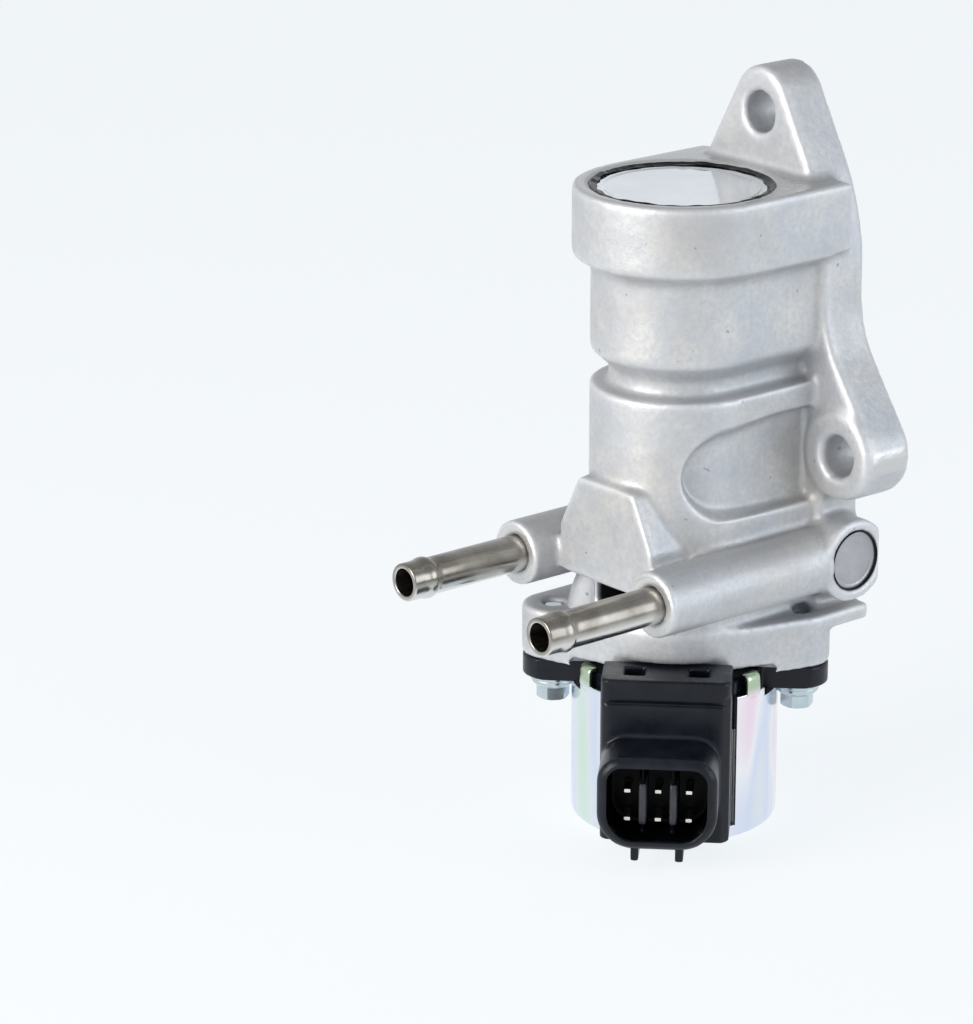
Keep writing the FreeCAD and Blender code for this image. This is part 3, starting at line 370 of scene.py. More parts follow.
def socket_mask(tree, where):
    """One inside the connector's socket: behind its mouth, within its half width and its half height."""
    split = add(tree, "SeparateXYZ", Vector=where)
    x, y, z = (split.outputs[i] for i in range(3))
    along = maths(tree, "MULTIPLY", maths(tree, "SUBTRACT", x, y), DIAGONAL)
    sideways = maths(tree, "MULTIPLY", maths(tree, "ADD", x, y), DIAGONAL)
    inside = between(tree, along, SOCKET_MOUTH - 1.2 * MM, SOCKET_MOUTH - 0.4 * MM, 1.0, 0.0)
    for value, middle, reach in ((sideways, SOCKET_SIDE, SOCKET_WIDE), (z, SOCKET_LEVEL, SOCKET_HIGH),
                                 (along, SOCKET_MOUTH, SOCKET_DEEP)):
        away = maths(tree, "ABSOLUTE", maths(tree, "SUBTRACT", value, middle))
        inside = maths(tree, "MULTIPLY", inside, between(tree, away, reach, reach + 0.5 * MM, 1.0, 0.0))
    return inside


def moulded(name, shade, low_rough, high_rough, grain_depth, grain_scale=3500.0, socket=False):
    """Dark, slightly cloudy plastic or rubber. With `socket`, it is painted black and dull inside the
    socket, as painted shade.
    """
    material, tree = new_material(name)
    where = coordinates(tree)
    grain = noise(tree, where, grain_scale, 2.0)
    flow = noise(tree, where, 180.0, 4.0)
    lighter = colour(*(min(1.0, channel * 1.7 + 0.004) for channel in shade))
    base = mix(tree, between(tree, flow, 0.3, 0.7), colour(*shade), lighter)
    rough = between(tree, flow, 0.3, 0.7, low_rough, high_rough)
    relief = bump(tree, grain, grain_depth * MM, 0.5)
    shine = 0.28
    if socket:
        # Painted shade: inside the socket the colour is painted almost black.
        inside = socket_mask(tree, where)
        base = mix(tree, maths(tree, "MULTIPLY", inside, 0.9), base, colour(0.0, 0.0, 0.0))
        shine = between(tree, inside, 0.0, 1.0, shine, 0.07)
    surface(tree, Base_Color=base, Roughness=rough, Normal=relief, Specular_IOR_Level=shine)
    return material


finishes["black_plastic"] = moulded("black_plastic_finish", (0.0025, 0.004, 0.008), 0.24, 0.40,
                                    0.012, socket=True)
finishes["black_rubber"] = moulded("black_rubber_finish", (0.006, 0.006, 0.006), 0.45, 0.62, 0.04)
# Painted light: a lighter copy of the black plastic for the ribs, which look lit inside the shaded socket.
painted_lit_rib_finish = moulded("painted_lit_rib_finish", (0.035, 0.037, 0.045), 0.40, 0.50, 0.012)
sealant_finish = moulded("sealant_finish", (0.004, 0.004, 0.005), 0.14, 0.40, 0.7, 480.0)

for part in frame["record"]["subparts"]:
    carried = nodes[part["node"]]
    carried.data.materials.clear()
    carried.data.materials.append(finishes[part["material_slot"]])
print("finishes:", sorted(finishes))

# %% [markdown]
# ## Softened castings and mouldings
#
# A mould leaves no sharp corner: every inner and outer edge has a small radius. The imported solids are
# crisp, so the casting and the plastic housing are dressed with a skin. A copy of the node is merged and
# rebuilt as an even grid of small faces. A shape function may move its points. Then they are relaxed,
# which rounds edges by about the size of a face.

# %% Skins over crisp solids


def merged_copy(name, label):
    """Copy of a node's mesh with its loose triangles joined."""
    mesh = nodes[name].data.copy()
    mesh.name = label
    work = bmesh.new()
    work.from_mesh(mesh)
    bmesh.ops.remove_doubles(work, verts=work.verts, dist=0.002 * MM)
    work.to_mesh(mesh)
    work.free()
    piece = bpy.data.objects.new(label, mesh)
    bpy.context.scene.collection.objects.link(piece)
    return piece


def apply_modifiers(piece):
    """Replaces the piece's mesh by what its modifiers make of it."""
    bpy.context.view_layer.update()
    seen = piece.evaluated_get(bpy.context.evaluated_depsgraph_get())
    finished = bpy.data.meshes.new_from_object(seen)
    piece.modifiers.clear()
    piece.data = finished
    return piece


def relaxed(points, edges, steps, amount):
    """Moves each point towards the mean of its neighbours, a few times."""
    count = np.bincount(edges.ravel(), minlength=len(points))[:, None]
    for _ in range(steps):
        total = np.zeros_like(points)
        np.add.at(total, edges[:, 0], points[edges[:, 1]])
        np.add.at(total, edges[:, 1], points[edges[:, 0]])
        points = points + (total / count - points) * amount
    return points


def skin(name, label, body, voxel, steps, shape):
    """Rounded copy of a node on a grid of the voxel's size, with its points moved by a shape function."""
    piece = merged_copy(name, label)
    remesh = piece.modifiers.new("even_grid", "REMESH")
    remesh.mode = "VOXEL"
    remesh.voxel_size = voxel
    apply_modifiers(piece)
    mesh = piece.data
    points = np.empty(len(mesh.vertices) * 3)
    mesh.vertices.foreach_get("co", points)
    edges = np.empty(len(mesh.edges) * 2, int)
    mesh.edges.foreach_get("vertices", edges)
    points = points.reshape(-1, 3)
    shape(points)
    points = relaxed(points, edges.reshape(-1, 2), steps, 0.5)
    mesh.vertices.foreach_set("co", points.ravel())
    mesh.shade_smooth()
    mesh.update()
    mesh.materials.clear()
    mesh.materials.append(nodes[name].data.materials[0])
    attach(piece, body)
    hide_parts(name)
    print(label, "faces:", len(mesh.polygons))
    return piece


def smooth(value, low, high):
    """3t² - 2t³, where t goes from 0 to 1 as the value goes from low to high."""
    t = np.clip((value - low) / (high - low), 0, 1)
    return t * t * (3 - 2 * t)


# %% [markdown]
# ## What the mould adds to the casting
#
# Two soft forms of the casting are worked into its skin before it is relaxed. The side recesses run out
# in a round front end with a slanting wall, where the solid ends steeply: each point of the recess
# outside a circle goes back out to the round front, x = √(R² - y²). And each lower ear has a round boss
# about a millimetre proud of the plate, around its hole.

# %% Casting skin
BODY_RADIUS, RECESS_FLOOR = 19.0 * MM, 15.9 * MM
RECESS_BACK, RECESS_TOP = 21.0 * MM, 95.0 * MM
RECESS_FRONT, RECESS_BOTTOM = -18.5 * MM, 68.5 * MM
RECESS_END = np.array((-2.0, 81.0)) * MM
RECESS_ROUND, RECESS_WIDENS, RECESS_LENGTH = 10.2 * MM, 0.12, 14 * MM
EAR_HOLE = np.array((26.8, 82.4)) * MM
EAR_BOSS, BOSS_PROUD, PLATE_FRONT = 9.4 * MM, 1.0 * MM, 21.6 * MM


def cast_shape(points):
    """Fills the front of both recesses and raises the ear bosses."""
    side = np.sign(points[:, 0])
    x, y, z = np.abs(points[:, 0]), points[:, 1], points[:, 2]
    surface_x = np.sqrt(np.maximum(BODY_RADIUS ** 2 - np.minimum(y, 0) ** 2, 0))
    inside = (y > RECESS_FRONT) & (y < RECESS_BACK) & (z > RECESS_BOTTOM) & (z < RECESS_TOP)
    inside &= (x < surface_x) & (np.hypot(x, np.minimum(y, 0)) > RECESS_FLOOR - 0.7 * MM)
    outside = np.hypot(np.minimum(y - RECESS_END[0], 0), z - RECESS_END[1])
    outside -= RECESS_ROUND + RECESS_WIDENS * np.clip(y - RECESS_END[0], 0, RECESS_LENGTH)
    amount = np.where(inside, smooth(outside, -2.3 * MM, 0.3 * MM), 0)
    points[:, 0] += side * (surface_x - x) * amount
    away = np.hypot(x - EAR_HOLE[0], z - EAR_HOLE[1])
    plate = (np.abs(y - PLATE_FRONT) < 0.6 * MM) & (x > RECESS_FLOOR - 1.0 * MM)
    boss = 1 - smooth(away, EAR_BOSS, EAR_BOSS + 1.0 * MM)
    points[:, 1] -= np.where(plate, BOSS_PROUD * boss, 0)
    print("recess points filled out:", int((amount > 0.5).sum()))


skin("valve_body", "casting_skin", "body", 0.76 * MM, 3, cast_shape)

# %% [markdown]
# ## Arms, chamfer and shell of the connector housing
#
# The flange that the screws clamp is a straight arm on each side, about as wide as the washers, where
# the solid runs slanting from the screw lobe to the round middle. Points of the skin outside the can's
# wall, between the flange's two faces, are drawn in to the arm's width. The connector's box has a chamfer
# along its right edge, where a point beyond the line forward + sideways = constant goes back onto it.
#
# The shell's lower corners are rounder than the solid's: a point moves by the difference of its
# distances from the two rounded outlines, which is zero along the straight walls. At the mouth the
# shell's outer edge is rounded over, by the square of the share of the wall's thickness.

# %% Housing skin
ARM_HALF, ARM_ROOT = 5.9 * MM, 18.5 * MM
ARM_LOW, ARM_HIGH = 30.0 * MM, 35.6 * MM
BOX_FRONT, BOX_TOP = 28.7 * MM, 36.0 * MM
CHAMFER_LINE, CHAMFER_SIDE = 40.2 * MM, 11.45 * MM
SHELL_HALF = np.array((12.65, 10.25)) * MM
SHELL_WALL, SHELL_CORNER, LOWER_CORNER = 2.1 * MM, 5.5 * MM, 8.0 * MM
MOUTH_ROUND, MOUTH_REACH = 1.3 * MM, 3.0 * MM


def from_outline(offsets, radius):
    """Distance outside the shell's outline with corners of a radius, and the way out at the corners."""
    q = np.abs(offsets) - (SHELL_HALF - radius)
    corner = np.maximum(q, 0)
    length = np.linalg.norm(corner, axis=1)
    distance = length + np.minimum(q.max(axis=1), 0) - radius
    return distance, np.sign(offsets) * corner / np.maximum(length, 1e-9)[:, None]


def shell_shape(along, sideways, level):
    """New distances along the heading, to its side and up, for the skin's points."""
    over = along + sideways - CHAMFER_LINE
    edge = (sideways > CHAMFER_SIDE) & (over > 0) & (level < BOX_TOP)
    edge &= np.abs(along - BOX_FRONT) < 4.0 * MM
    along, sideways = along - np.where(edge, over / 2, 0), sideways - np.where(edge, over / 2, 0)
    offsets = np.stack((sideways - SOCKET_SIDE, level - SOCKET_LEVEL), -1)
    tight, way = from_outline(offsets, SHELL_CORNER)
    loose = from_outline(offsets, LOWER_CORNER)[0]
    lower = (along > BOX_FRONT + 0.4 * MM) & (level < SOCKET_LEVEL)
    shift = way * np.where(lower, loose - tight, 0)[:, None]
    share = np.clip(1 + tight / SHELL_WALL, 0, 1)
    mouth = np.clip((along - SOCKET_MOUTH + MOUTH_REACH) / MOUTH_REACH, 0, 1)
    return along - MOUTH_ROUND * share ** 2 * mouth, sideways - shift[:, 0], level - shift[:, 1]


def housing_shape(points):
    """Narrows the flange's arms and shapes the box and the shell."""
    lengthwise = (points[:, 0] - points[:, 1]) * DIAGONAL
    sidewise = (points[:, 0] + points[:, 1]) * DIAGONAL
    arm = (points[:, 2] > ARM_LOW) & (points[:, 2] < ARM_HIGH) & (np.abs(sidewise) > ARM_ROOT)
    excess = np.where(arm, lengthwise - np.clip(lengthwise, -ARM_HALF, ARM_HALF), 0)
    lengthwise, sidewise, points[:, 2] = shell_shape(lengthwise - excess, sidewise, points[:, 2])
    points[:, 0] = (lengthwise + sidewise) * DIAGONAL
    points[:, 1] = (sidewise - lengthwise) * DIAGONAL


skin("connector_housing", "housing_skin", "body", 0.385 * MM, 2, housing_shape)

# %% [markdown]
# ## Turned surfaces
#
# Nipples, plugs, washers and screws are turned shapes: a profile goes round an axis. The profile is an
# array of (radius, height) points with its corners softened, and the whole surface is one array of
# points, so no loop goes over single vertices. The seam is closed by wrapping the last column to the
# first, and points that fall together on the axis are merged. Each frame gives the two ways across an
# axis and the way along it.

# %% Profiles and turned meshes
FRAMES = {
    "up": np.array(((1, 0, 0), (0, 1, 0), (0, 0, 1))),
    "down": np.array(((1, 0, 0), (0, -1, 0), (0, 0, -1))),
    "front": np.array(((1, 0, 0), (0, 0, 1), (0, -1, 0))),
    "right": np.array(((0, 1, 0), (0, 0, 1), (1, 0, 0))),
}


def softened(corners, radius, closed=False, steps=6):
    """Each corner P becomes (1-t)²A + 2t(1-t)P + t²B, where A and B lie a radius away on its sides."""
    p = np.asarray(corners, float)
    reach = np.broadcast_to(np.asarray(radius, float), (len(p),)).copy()
    if not closed:
        reach[[0, -1]] = 0
    back, ahead = np.roll(p, 1, 0) - p, np.roll(p, -1, 0) - p
    back_length = np.linalg.norm(back, axis=1)
    ahead_length = np.linalg.norm(ahead, axis=1)
    a = p + back * (np.minimum(reach / back_length, 0.48))[:, None]
    b = p + ahead * (np.minimum(reach / ahead_length, 0.48))[:, None]
    t = np.linspace(0, 1, steps)[None, :, None]
    curve = (1 - t) ** 2 * a[:, None] + 2 * t * (1 - t) * p[:, None] + t ** 2 * b[:, None]
    return curve.reshape(-1, 2)


def turned(profile, middle, axis, count=96, swell=None):
    """Point = middle + side·r·cos a + second·r·sin a + axis·h, where swell(a, r, h) may change r and h."""
    side, second, along = FRAMES[axis]
    a = np.linspace(0, 2 * np.pi, count, endpoint=False)[None, :]
    r, h = (np.repeat(column[:, None], count, 1) for column in np.asarray(profile).T)
    if swell is not None:
        r, h = swell(a, r, h)
    return (np.asarray(middle) + side * (r * np.cos(a))[..., None] + second * (r * np.sin(a))[..., None]
            + along * h[..., None])


def grid_mesh(name, points, wrap_rows=False, sharp=38):
    """Quads between neighbouring grid points, wrapped across columns, and across rows where asked."""
    rows, columns = points.shape[:2]
    index = np.arange(rows * columns).reshape(rows, columns)
    if wrap_rows:
        index = np.vstack((index, index[:1]))
    index = np.hstack((index, index[:, :1]))
    quads = np.stack((index[:-1, :-1], index[:-1, 1:], index[1:, 1:], index[1:, :-1]), -1)
    mesh = bpy.data.meshes.new(name)
    mesh.from_pydata(points.reshape(-1, 3).tolist(), [], quads.reshape(-1, 4).tolist())
    work = bmesh.new()
    work.from_mesh(mesh)
    bmesh.ops.remove_doubles(work, verts=work.verts, dist=0.0005 * MM)
    bmesh.ops.recalc_face_normals(work, faces=work.faces)
    work.to_mesh(mesh)
    work.free()
    mesh.shade_smooth()
    mesh.set_sharp_from_angle(angle=math.radians(sharp))
    return mesh


def dress(mesh, slot, *stands_for):
    """New piece of a mesh on the valve's body, in a slot's finish, in place of the named nodes."""
    piece = bpy.data.objects.new(mesh.name, mesh)
    bpy.context.scene.collection.objects.link(piece)
    mesh.materials.append(finishes[slot])
    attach(piece, "body")
    if stands_for:
        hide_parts(*stands_for)
    print(mesh.name, "faces:", len(mesh.polygons))
    return piece


# %% [markdown]
# ## Coolant nipples
#
# Each nipple is a drawn steel tube, pressed into its boss, with a bead near the tip that holds the hose
# and a slightly swaged end. The bore is open, dark and rusty inside, so the profile is a closed loop
# that runs out along the outside and back along the bore.

# %% Nipples
TUBE, BORE, BEAD, SWAGED = 4.0 * MM, 3.0 * MM, 4.5 * MM, 4.12 * MM
PRESSED_IN = 8.0 * MM

for side_name in ("left", "right"):
    node = "coolant_nipple_" + side_name
    low, high = corners_of(node)
    end = high[1] - low[1] - PRESSED_IN
    start = 0.1 * MM - PRESSED_IN
    corners = np.array((
        (BORE, start), (TUBE, start), (TUBE, end - 7.0 * MM), (BEAD, end - 5.8 * MM),
        (BEAD, end - 4.9 * MM), (SWAGED, end - 3.4 * MM), (SWAGED, end), (BORE, end),
    ))
    profile = softened(corners, np.array((0.2, 0.2, 1.2, 0.6, 0.6, 0.8, 0.45, 0.35)) * MM, closed=True)
    middle = (centre(node)[0], low[1] + end, centre(node)[2])
    dress(grid_mesh("nipple_" + side_name, turned(profile, middle, "front"), True), "stainless_tube", node)

# %% [markdown]
# ## Top plug with its sealant
#
# The bore at the top is closed by a bright pressed disc, a little below the rim, that mirrors the ear
# behind it. Round it lies a black bead that was laid by hand, so its edge wanders: slow waves of the
# angle move its inner edge in and out and its crest up and down.

# %% Top plug and sealant
seal_low, seal_high = corners_of("top_plug_seal")
seal_outside = (seal_high[0] - seal_low[0]) / 2
seal_deep = TOP - seal_low[2] - 0.15 * MM
plug_radius = seal_outside - 1.1 * MM
plug_low = corners_of("top_plug")[0][2]
plug_deep = TOP - 0.8 * MM - plug_low
plug_level = plug_low + plug_deep - seal_low[2]
profile = softened(np.array((
    (0, 0), (plug_radius, 0), (plug_radius, plug_deep), (plug_radius - 1.4 * MM, plug_deep),
    (plug_radius - 1.9 * MM, plug_deep - 0.25 * MM), (0, plug_deep - 0.2 * MM),
)), 0.35 * MM)
middle = (centre("top_plug")[0], centre("top_plug")[1], plug_low)
dress(grid_mesh("bright_plug", turned(profile, middle, "up", 160)), "bright_steel", "top_plug")


def wandering(a, r, h):
    """Inner edge and crest move by a few slow waves of the angle."""
    wave = 0.5 * np.sin(4 * a + 0.6) + 0.4 * np.sin(9 * a + 2.0) + 0.3 * np.sin(23 * a)
    inside = (r < plug_radius - 0.1 * MM) * (h > plug_level)
    crest = (h > seal_deep - 0.8 * MM) * (r < seal_outside - 0.1 * MM)
    return r + inside * 0.5 * MM * wave, h + crest * 0.22 * MM * np.roll(wave, 7, 1)


corners = np.array((
    (plug_radius + 0.02 * MM, 0), (seal_outside, 0), (seal_outside + 0.35 * MM, seal_deep - 0.2 * MM),
    (seal_outside - 0.2 * MM, seal_deep), (plug_radius + 0.1 * MM, seal_deep - 0.4 * MM),
    (plug_radius - 0.35 * MM, plug_level + 0.2 * MM), (plug_radius + 0.02 * MM, plug_level - 0.2 * MM),
))
profile = softened(corners, 0.3 * MM, closed=True)
middle = (centre("top_plug")[0], centre("top_plug")[1], seal_low[2])
bead = dress(grid_mesh("sealant_bead", turned(profile, middle, "up", 240, wandering), True),
             "black_rubber", "top_plug_seal")
bead.data.materials[0] = sealant_finish

# %% [markdown]
# ## Passage plug
#
# The drilling that joins the two coolant passages is closed by a cup pressed into its boss. It sits
# just below the face, and a dark ring lines the gap on the side that one looks into.

# %% Passage plug and its gap
low, high = corners_of("passage_plug")
cup = (high[1] - low[1]) / 2
deep = high[0] - low[0]
profile = softened(np.array((
    (0, 0), (cup, 0), (cup, deep), (cup - 0.7 * MM, deep), (cup - 1.0 * MM, deep - 0.12 * MM),
    (0, deep - 0.1 * MM),
)), 0.25 * MM)
middle = (low[0], centre("passage_plug")[1], centre("passage_plug")[2])
dress(grid_mesh("passage_cup", turned(profile, middle, "right")), "valve_steel", "passage_plug")
# A dark ring in the black rubber finish lines the gap's wall.
gap = softened(np.array((
    (cup + 0.08 * MM, deep - 0.5 * MM), (cup + 0.08 * MM, deep + 0.7 * MM),
    (cup - 0.06 * MM, deep + 0.6 * MM), (cup - 0.1 * MM, deep + 0.05 * MM),
    (cup - 0.05 * MM, deep - 0.5 * MM),
)), 0.1 * MM, closed=True)
dress(grid_mesh("passage_dark_ring", turned(gap, middle, "right"), True), "black_rubber")

# %% [markdown]
# ## Skirt over the left screw lobe
#
# Under the flat pad, beside the vent, the round front flares out to the foot's screw lobe. Each section
# is a loop: up along the flare, whose reach beyond the round front shrinks as 1 - s^1.5 with the share s
# of the height, and back down inside the wall. The flare fades to nothing towards both ends.

# %% Skirt
SKIRT_LOW, SKIRT_HIGH, SKIRT_REACH = 46.4 * MM, 58.0 * MM, 4.4 * MM
SKIRT_ENDS = (20, 94)
skirt_turn = np.radians(np.concatenate((SKIRT_ENDS[:1], np.linspace(*SKIRT_ENDS, 60), SKIRT_ENDS[1:])))
spread = smooth(skirt_turn, math.radians(22), math.radians(36))
spread = spread * (1 - smooth(skirt_turn, math.radians(72), math.radians(93)))
share = np.linspace(0, 1, 18)
outer = BODY_RADIUS + spread[:, None] * (1 - share[None, :] ** 1.5) * SKIRT_REACH
radius = np.hstack((outer, np.full_like(outer, BODY_RADIUS - 0.7 * MM)))
height = SKIRT_LOW + np.concatenate((share, share[::-1])) * (SKIRT_HIGH - SKIRT_LOW)
height = np.broadcast_to(height, radius.shape)
points = np.stack((-radius * np.sin(skirt_turn)[:, None], -radius * np.cos(skirt_turn)[:, None], height), -1)
points[[0, -1]] = points[[0, -1]].mean(axis=1, keepdims=True)
dress(grid_mesh("front_skirt", points, sharp=50), "cast_aluminium")

# %% [markdown]
# ## Flange screws and washers
#
# Two zinc-plated hexagon screws with a flange under the head hold the motor. A hexagon's outline at the
# angle a from a flat's middle is the flat's distance over cos a. The head's corners are cut by a cone at
# its end, so each radius is the smaller of the hexagon's and the cone's.

# %% Screws and washers
FLAT, SHANK, FLANGE = 3.15 * MM, 2.3 * MM, 4.7 * MM
FLANGE_THICK, WASHER_PLAY = 1.7 * MM, 0.2 * MM


def hexagon_head(head):
    """Changes the round outline of a head of that height to a hexagon, cut by a cone at its end."""

    def swell(a, r, h):
        outline = FLAT / np.cos(np.mod(a, np.pi / 3) - np.pi / 6)
        cone = FLAT + (head - np.abs(h)) * 1.9 + 0.1 * MM
        on_head = (r > SHANK + 0.1 * MM) & (h > FLANGE_THICK)
        return np.where(on_head, np.minimum(r, np.minimum(outline, cone)), r), h

    return swell


for side_name in ("left", "right"):
    washer_low, washer_high = corners_of("washer_" + side_name)
    screw_low, screw_high = corners_of("flange_screw_" + side_name)
    x, y = centre("washer_" + side_name)[:2]
    head = washer_low[2] - screw_low[2]
    top = screw_high[2] - washer_low[2]
    corner = FLAT / math.cos(math.pi / 6)
    corners = np.array((
        (0, -top), (SHANK - 0.5 * MM, -top), (SHANK, -top + 0.6 * MM), (SHANK, 0.02 * MM),
        (FLANGE, 0.02 * MM), (FLANGE, 0.8 * MM), (corner + 0.2 * MM, FLANGE_THICK), (corner, 1.75 * MM),
        (corner, head * 0.6), (corner, head * 0.85), (corner, head - 0.3 * MM), (corner, head),
        (FLAT - 0.7 * MM, head), (FLAT - 1.0 * MM, head - 0.3 * MM), (0, head - 0.3 * MM),
    ))
    points = turned(softened(corners, 0.22 * MM), (x, y, washer_low[2]), "down", 144, hexagon_head(head))
    dress(grid_mesh("hex_screw_" + side_name, points, sharp=30), "zinc_steel", "flange_screw_" + side_name)
    wide = (washer_high[0] - washer_low[0]) / 2
    thick = washer_high[2] - washer_low[2]
    bore = SHANK + WASHER_PLAY
    corners = np.array(((bore, 0), (wide, 0), (wide, thick), (bore, thick)))
    points = turned(softened(corners, 0.3 * MM, closed=True), (x, y, washer_low[2]), "up")
    dress(grid_mesh("flat_washer_" + side_name, points, True), "zinc_steel", "washer_" + side_name)

# %% [markdown]
# ## Motor can
#
# The can is deep drawn from one millimetre sheet. Its wall is cut down where the connector box passes,
# and it stands a little higher beside the box, up to the crimp tabs, than under the screw lobes. The
# surface is one grid of profile points and angles: wherever a height is above the rim at its angle, it
# is lowered to it, so the closed profile of the sheet folds into the edges of the cut-out by itself.

# %% Can
CAN, SHEET = 22.4 * MM, 1.0 * MM
BESIDE_BOX, UNDER_LOBES, BELOW_BOX = 32.3 * MM, 30.4 * MM, 3.1 * MM
RIM_STEPS = np.array((-62.0, -42.0, 39.5, 62.0))


def rim_height(turn):
    """Height of the can's rim at a turn from the connector's heading, in degrees."""
    window = (turn > RIM_STEPS[1]) & (turn < RIM_STEPS[2])
    beside = (turn > RIM_STEPS[0]) & (turn < RIM_STEPS[3])
    return np.where(window, BELOW_BOX, np.where(beside, BESIDE_BOX, UNDER_LOBES))


turn = np.sort(np.concatenate((np.linspace(-179, 180, 180), RIM_STEPS - 0.02, RIM_STEPS + 0.02)))
profile = softened(np.array((
    (0, 0), (CAN, 0), (CAN, BESIDE_BOX), (CAN - SHEET, BESIDE_BOX), (CAN - SHEET, SHEET), (0, SHEET),
)), np.array((0, 1.7, 0.3, 0.3, 0.8, 0)) * MM, steps=8)
r, h = (np.repeat(column[:, None], len(turn), 1) for column in profile.T)
h = np.minimum(h, rim_height(turn)[None, :])
a = np.radians(turn)[None, :]
points = forward * (r * np.cos(a))[..., None] + across * (r * np.sin(a))[..., None] + upward * h[..., None]
dress(grid_mesh("drawn_can", points), "zinc_sheet", "motor_can")

# %% [markdown]
# ## Crimp tabs
#
# Four tabs of the can are bent over the plastic flange. Each is a strip: a flat rounded section carried
# along a path that runs up the wall and turns inwards. The path's normal at each point is its direction
# turned by a right angle, and the section shrinks to a point at both ends, which closes the strip.

# %% Tabs
TAB_WIDE, TAB_THICK = 4.3 * MM, 1.15 * MM
TAB_TURNS = (52, -57, 126, -128)
path = softened(np.array(((21.95, 29.5), (22.15, 33.5), (22.0, 36.25), (19.3, 35.85))) * MM,
                np.array((0, 1.5, 1.6, 0)) * MM, steps=9)
path = path[np.concatenate(((True,), np.linalg.norm(np.diff(path, axis=0), axis=1) > 0.01 * MM))]
along = np.gradient(path, axis=0)
along /= np.linalg.norm(along, axis=1)[:, None]
outward = np.stack((along[:, 1], -along[:, 0]), -1)
b = np.linspace(0, 2 * np.pi, 28, endpoint=False)
wide = np.sign(np.cos(b)) * np.abs(np.cos(b)) ** 0.4 * TAB_WIDE / 2
thick = np.sign(np.sin(b)) * np.abs(np.sin(b)) ** 0.7 * TAB_THICK / 2
shrink = np.ones(len(path))[:, None]
shrink[[0, -1]] = 0
for number, degrees in enumerate(TAB_TURNS, 1):
    angle = math.radians(degrees)
    radial = forward * math.cos(angle) + across * math.sin(angle)
    sideways = across * math.cos(angle) - forward * math.sin(angle)
    radius = path[:, :1] + outward[:, :1] * thick * shrink
    height = path[:, 1:] + outward[:, 1:] * thick * shrink
    points = (radial * radius[..., None] + upward * height[..., None]
              + sideways * (wide * shrink)[..., None])
    dress(grid_mesh("crimp_tab_%d" % number, points), "zinc_sheet")

# %% [markdown]
# ## Terminal pins
#
# The six pins are flat blades, cut off square with a small chamfer, so their ends catch the light deep
# inside the socket, which is painted dark as painted shade. Each is a rounded rectangle carried along the
# connector's heading. So are the two ribs between the columns of pins, which are wider than the ribs of
# the solid behind them and painted lighter, as painted light that the shaded socket lacks.

# %% Pins and ribs
PIN_HALF, PIN_LENGTH = np.array((0.78, 0.46)) * MM, 15.0 * MM
RIB_HALF, RIB_FOOT, RIB_LEVEL = np.array((0.80, 4.5)) * MM, 30.3 * MM, 14.8 * MM
RIB_SIDES = (-4.65 * MM, 1.85 * MM)

ring_a = np.linspace(0, 2 * np.pi, 32, endpoint=False)
power = (np.abs(np.cos(ring_a)) ** 8 + np.abs(np.sin(ring_a)) ** 8) ** (-1 / 8)
squarish = np.stack((np.cos(ring_a) * power, np.sin(ring_a) * power), -1)
scales = np.array((0, 1, 1, 1, 0.86, 0.8, 0))[:, None, None]


def bar(start, stations, section):
    """Points of a bar from a start along the heading, with a section at each station."""
    return (start + forward * stations[:, None, None] + across * section[..., :1]
            + upward * section[..., 1:])


pin_stations = np.array((0, 0, 0.3, 10.9, 11.15, 11.2, 11.2)) * MM - PIN_LENGTH / 2
for number in range(1, 7):
    node = "terminal_pin_%d" % number
    points = bar(centre(node), pin_stations, squarish * PIN_HALF * scales)
    dress(grid_mesh("pin_%d" % number, points), "pin_metal", node)
rib_stations = np.array((0, 0, 0.3, 5.9, 6.3, 6.35, 6.35)) * MM + RIB_FOOT
for number, sideways in enumerate(RIB_SIDES, 1):
    start = across * sideways + upward * RIB_LEVEL
    points = bar(start, rib_stations, squarish * RIB_HALF * scales)
    rib = dress(grid_mesh("socket_rib_%d" % number, points), "black_plastic")
    # Painted light: the ribs get the lighter copy of the plastic.
    rib.data.materials[0] = painted_lit_rib_finish

# %% [markdown]
# ## Return spring
#
# The spring pushes the stem down, so its lower end goes up with the stem while its upper end stays. A
# copy of its mesh, joined and shaded smooth, stands in for it on the body.

# %% Spring
coil = merged_copy("return_spring", "coil_spring")
coil.data.shade_smooth()
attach(coil, "body")
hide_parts("return_spring")
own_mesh(coil)

# %% [markdown]
# ## Camera
#
# The camera stands where the photograph was taken: to the right of the nipples, a little above the
# valve, and far enough away that verticals hardly converge.

# %% Camera
VIEW_AZIMUTH = math.radians(50.47)
VIEW_ELEVATION = math.radians(18.24)
VIEW_DISTANCE = 911.7 * MM
VIEW_SHIFT = -40.86 * MM
VIEW_HEIGHT = 67.74 * MM
FOCAL_LENGTH = 149.6

target = np.array((VIEW_SHIFT * math.cos(VIEW_AZIMUTH), VIEW_SHIFT * math.sin(VIEW_AZIMUTH), VIEW_HEIGHT))
back = np.array((
    math.sin(VIEW_AZIMUTH) * math.cos(VIEW_ELEVATION),
    -math.cos(VIEW_AZIMUTH) * math.cos(VIEW_ELEVATION),
    math.sin(VIEW_ELEVATION),
))
lens = bpy.data.cameras.new("camera")
lens.lens = FOCAL_LENGTH
lens.sensor_width = 36.0
lens.clip_start = 0.05
camera = bpy.data.objects.new("camera", lens)
camera.location = target + back * VIEW_DISTANCE
camera.rotation_euler = (math.pi / 2 - VIEW_ELEVATION, 0, VIEW_AZIMUTH)
bpy.context.scene.collection.objects.link(camera)
bpy.context.scene.camera = camera

# %% [markdown]
# ## Floor and light
#
# A pale floor and soft lamps on both sides, as on a product table. The floor and the world look nearly
# white to the camera and in reflections, through Light Path, without putting more light on the valve.

# %% Stage and lamps


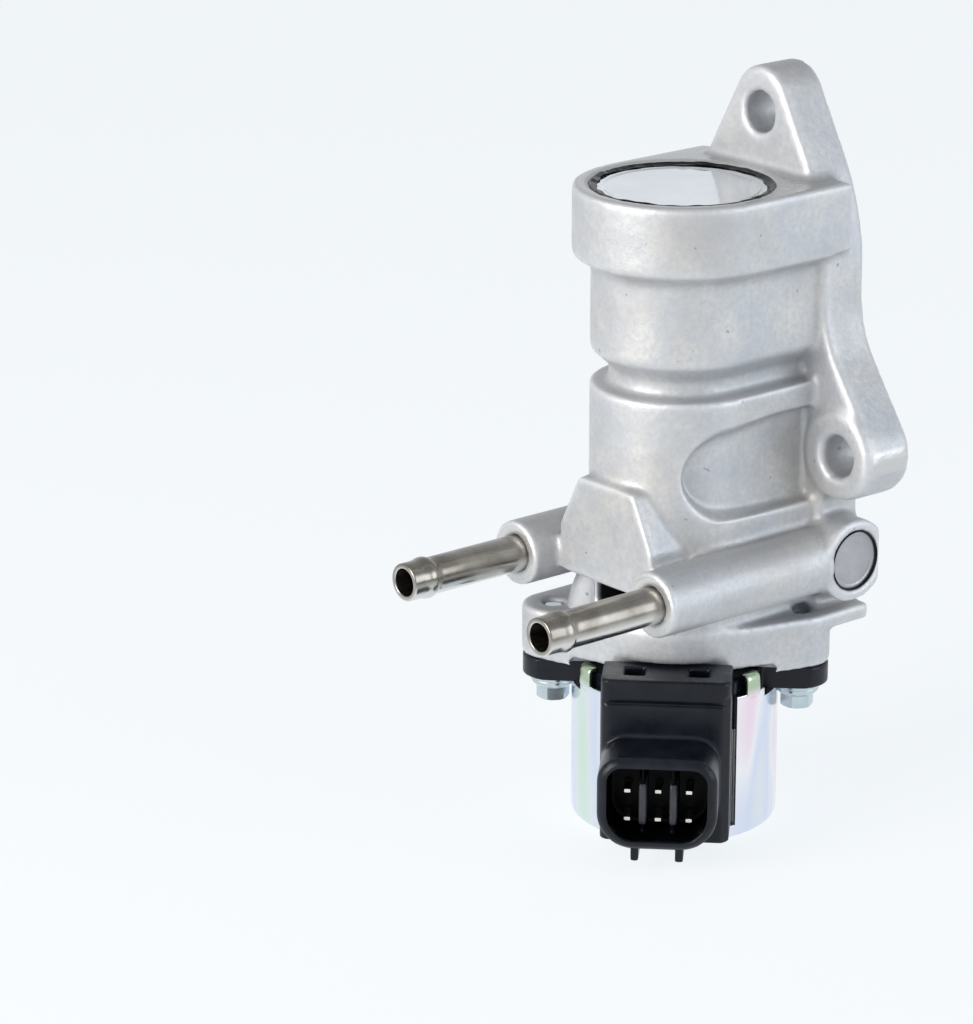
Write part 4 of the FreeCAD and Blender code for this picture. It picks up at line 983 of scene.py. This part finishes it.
def seen_white(tree, plain, white):
    """Mixes two shaders: the white one where the camera or a reflection looks."""
    path = add(tree, "LightPath")
    seen = maths(tree, "MAXIMUM", path.outputs["Is Camera Ray"], path.outputs["Is Glossy Ray"])
    made = add(tree, "MixShader", Fac=seen)
    tree.links.new(plain, made.inputs[1])
    tree.links.new(white, made.inputs[2])
    return made.outputs["Shader"]


PAPER = colour(0.90, 0.93, 0.97)
FLOOR_HALF, LAMP_AIM = 3, 0.08
world = bpy.data.worlds.new("studio")
world.use_nodes = True
tree = world.node_tree
tree.nodes.clear()
sky = add(tree, "SeparateXYZ", Vector=add(tree, "TexCoord").outputs["Generated"]).outputs["Z"]
plain_sky = mix(tree, between(tree, sky, 0.05, 0.9), colour(0.62, 0.65, 0.70), colour(0.20, 0.20, 0.21))
white_sky = mix(tree, between(tree, sky, 0.15, 0.95), PAPER, colour(0.42, 0.43, 0.44))
plain = add(tree, "Background", Color=plain_sky, Strength=1.0).outputs[0]
white = add(tree, "Background", Color=white_sky, Strength=1.0).outputs[0]
add(tree, "OutputWorld", Surface=seen_white(tree, plain, white))
bpy.context.scene.world = world

floor_mesh = bpy.data.meshes.new("floor")
floor_corners = [(x * FLOOR_HALF, y * FLOOR_HALF, 0) for x, y in ((-1, -1), (1, -1), (1, 1), (-1, 1))]
floor_mesh.from_pydata(floor_corners, [], [(0, 1, 2, 3)])
floor = bpy.data.objects.new("floor", floor_mesh)
bpy.context.scene.collection.objects.link(floor)
paper, tree = new_material("paper")
fibre = noise(tree, coordinates(tree), 400.0, 3.0)
grain = bump(tree, fibre, 0.05 * MM, 0.2)
sheet = add(tree, "BsdfPrincipled", Base_Color=PAPER, Roughness=0.8, Normal=grain,
            Emission_Color=PAPER, Emission_Strength=0.14).outputs["BSDF"]
shade = add(tree, "BsdfDiffuse", Color=colour(0.16, 0.16, 0.16)).outputs["BSDF"]
glow = add(tree, "Emission", Color=colour(0.81, 0.845, 0.87), Strength=1.0).outputs["Emission"]
lit = add(tree, "AddShader")
tree.links.new(shade, lit.inputs[0])
tree.links.new(glow, lit.inputs[1])
add(tree, "OutputMaterial", Surface=seen_white(tree, sheet, lit.outputs["Shader"]))
floor_mesh.materials.append(paper)


def lamp(name, azimuth, elevation, distance, width, power, tint=(1, 1, 1)):
    """Square area lamp that looks at the middle of the valve."""
    data = bpy.data.lights.new(name, "AREA")
    data.size = width
    data.energy = power
    data.color = tint
    made = bpy.data.objects.new(name, data)
    a, e = math.radians(azimuth), math.radians(elevation)
    made.location = (
        distance * math.sin(a) * math.cos(e),
        -distance * math.cos(a) * math.cos(e),
        distance * math.sin(e) + LAMP_AIM,
    )
    made.rotation_euler = (math.pi / 2 - e, 0, a)
    bpy.context.scene.collection.objects.link(made)


lamp("key", -4, 19, 0.9, 0.5, 6.4, (1.0, 0.965, 0.91))
lamp("fill", 118, 16, 0.9, 0.6, 2.4, (0.88, 0.94, 1.0))
lamp("top", 40, 80, 0.9, 0.6, 0.2)
bpy.context.scene.view_settings.view_transform = "Standard"
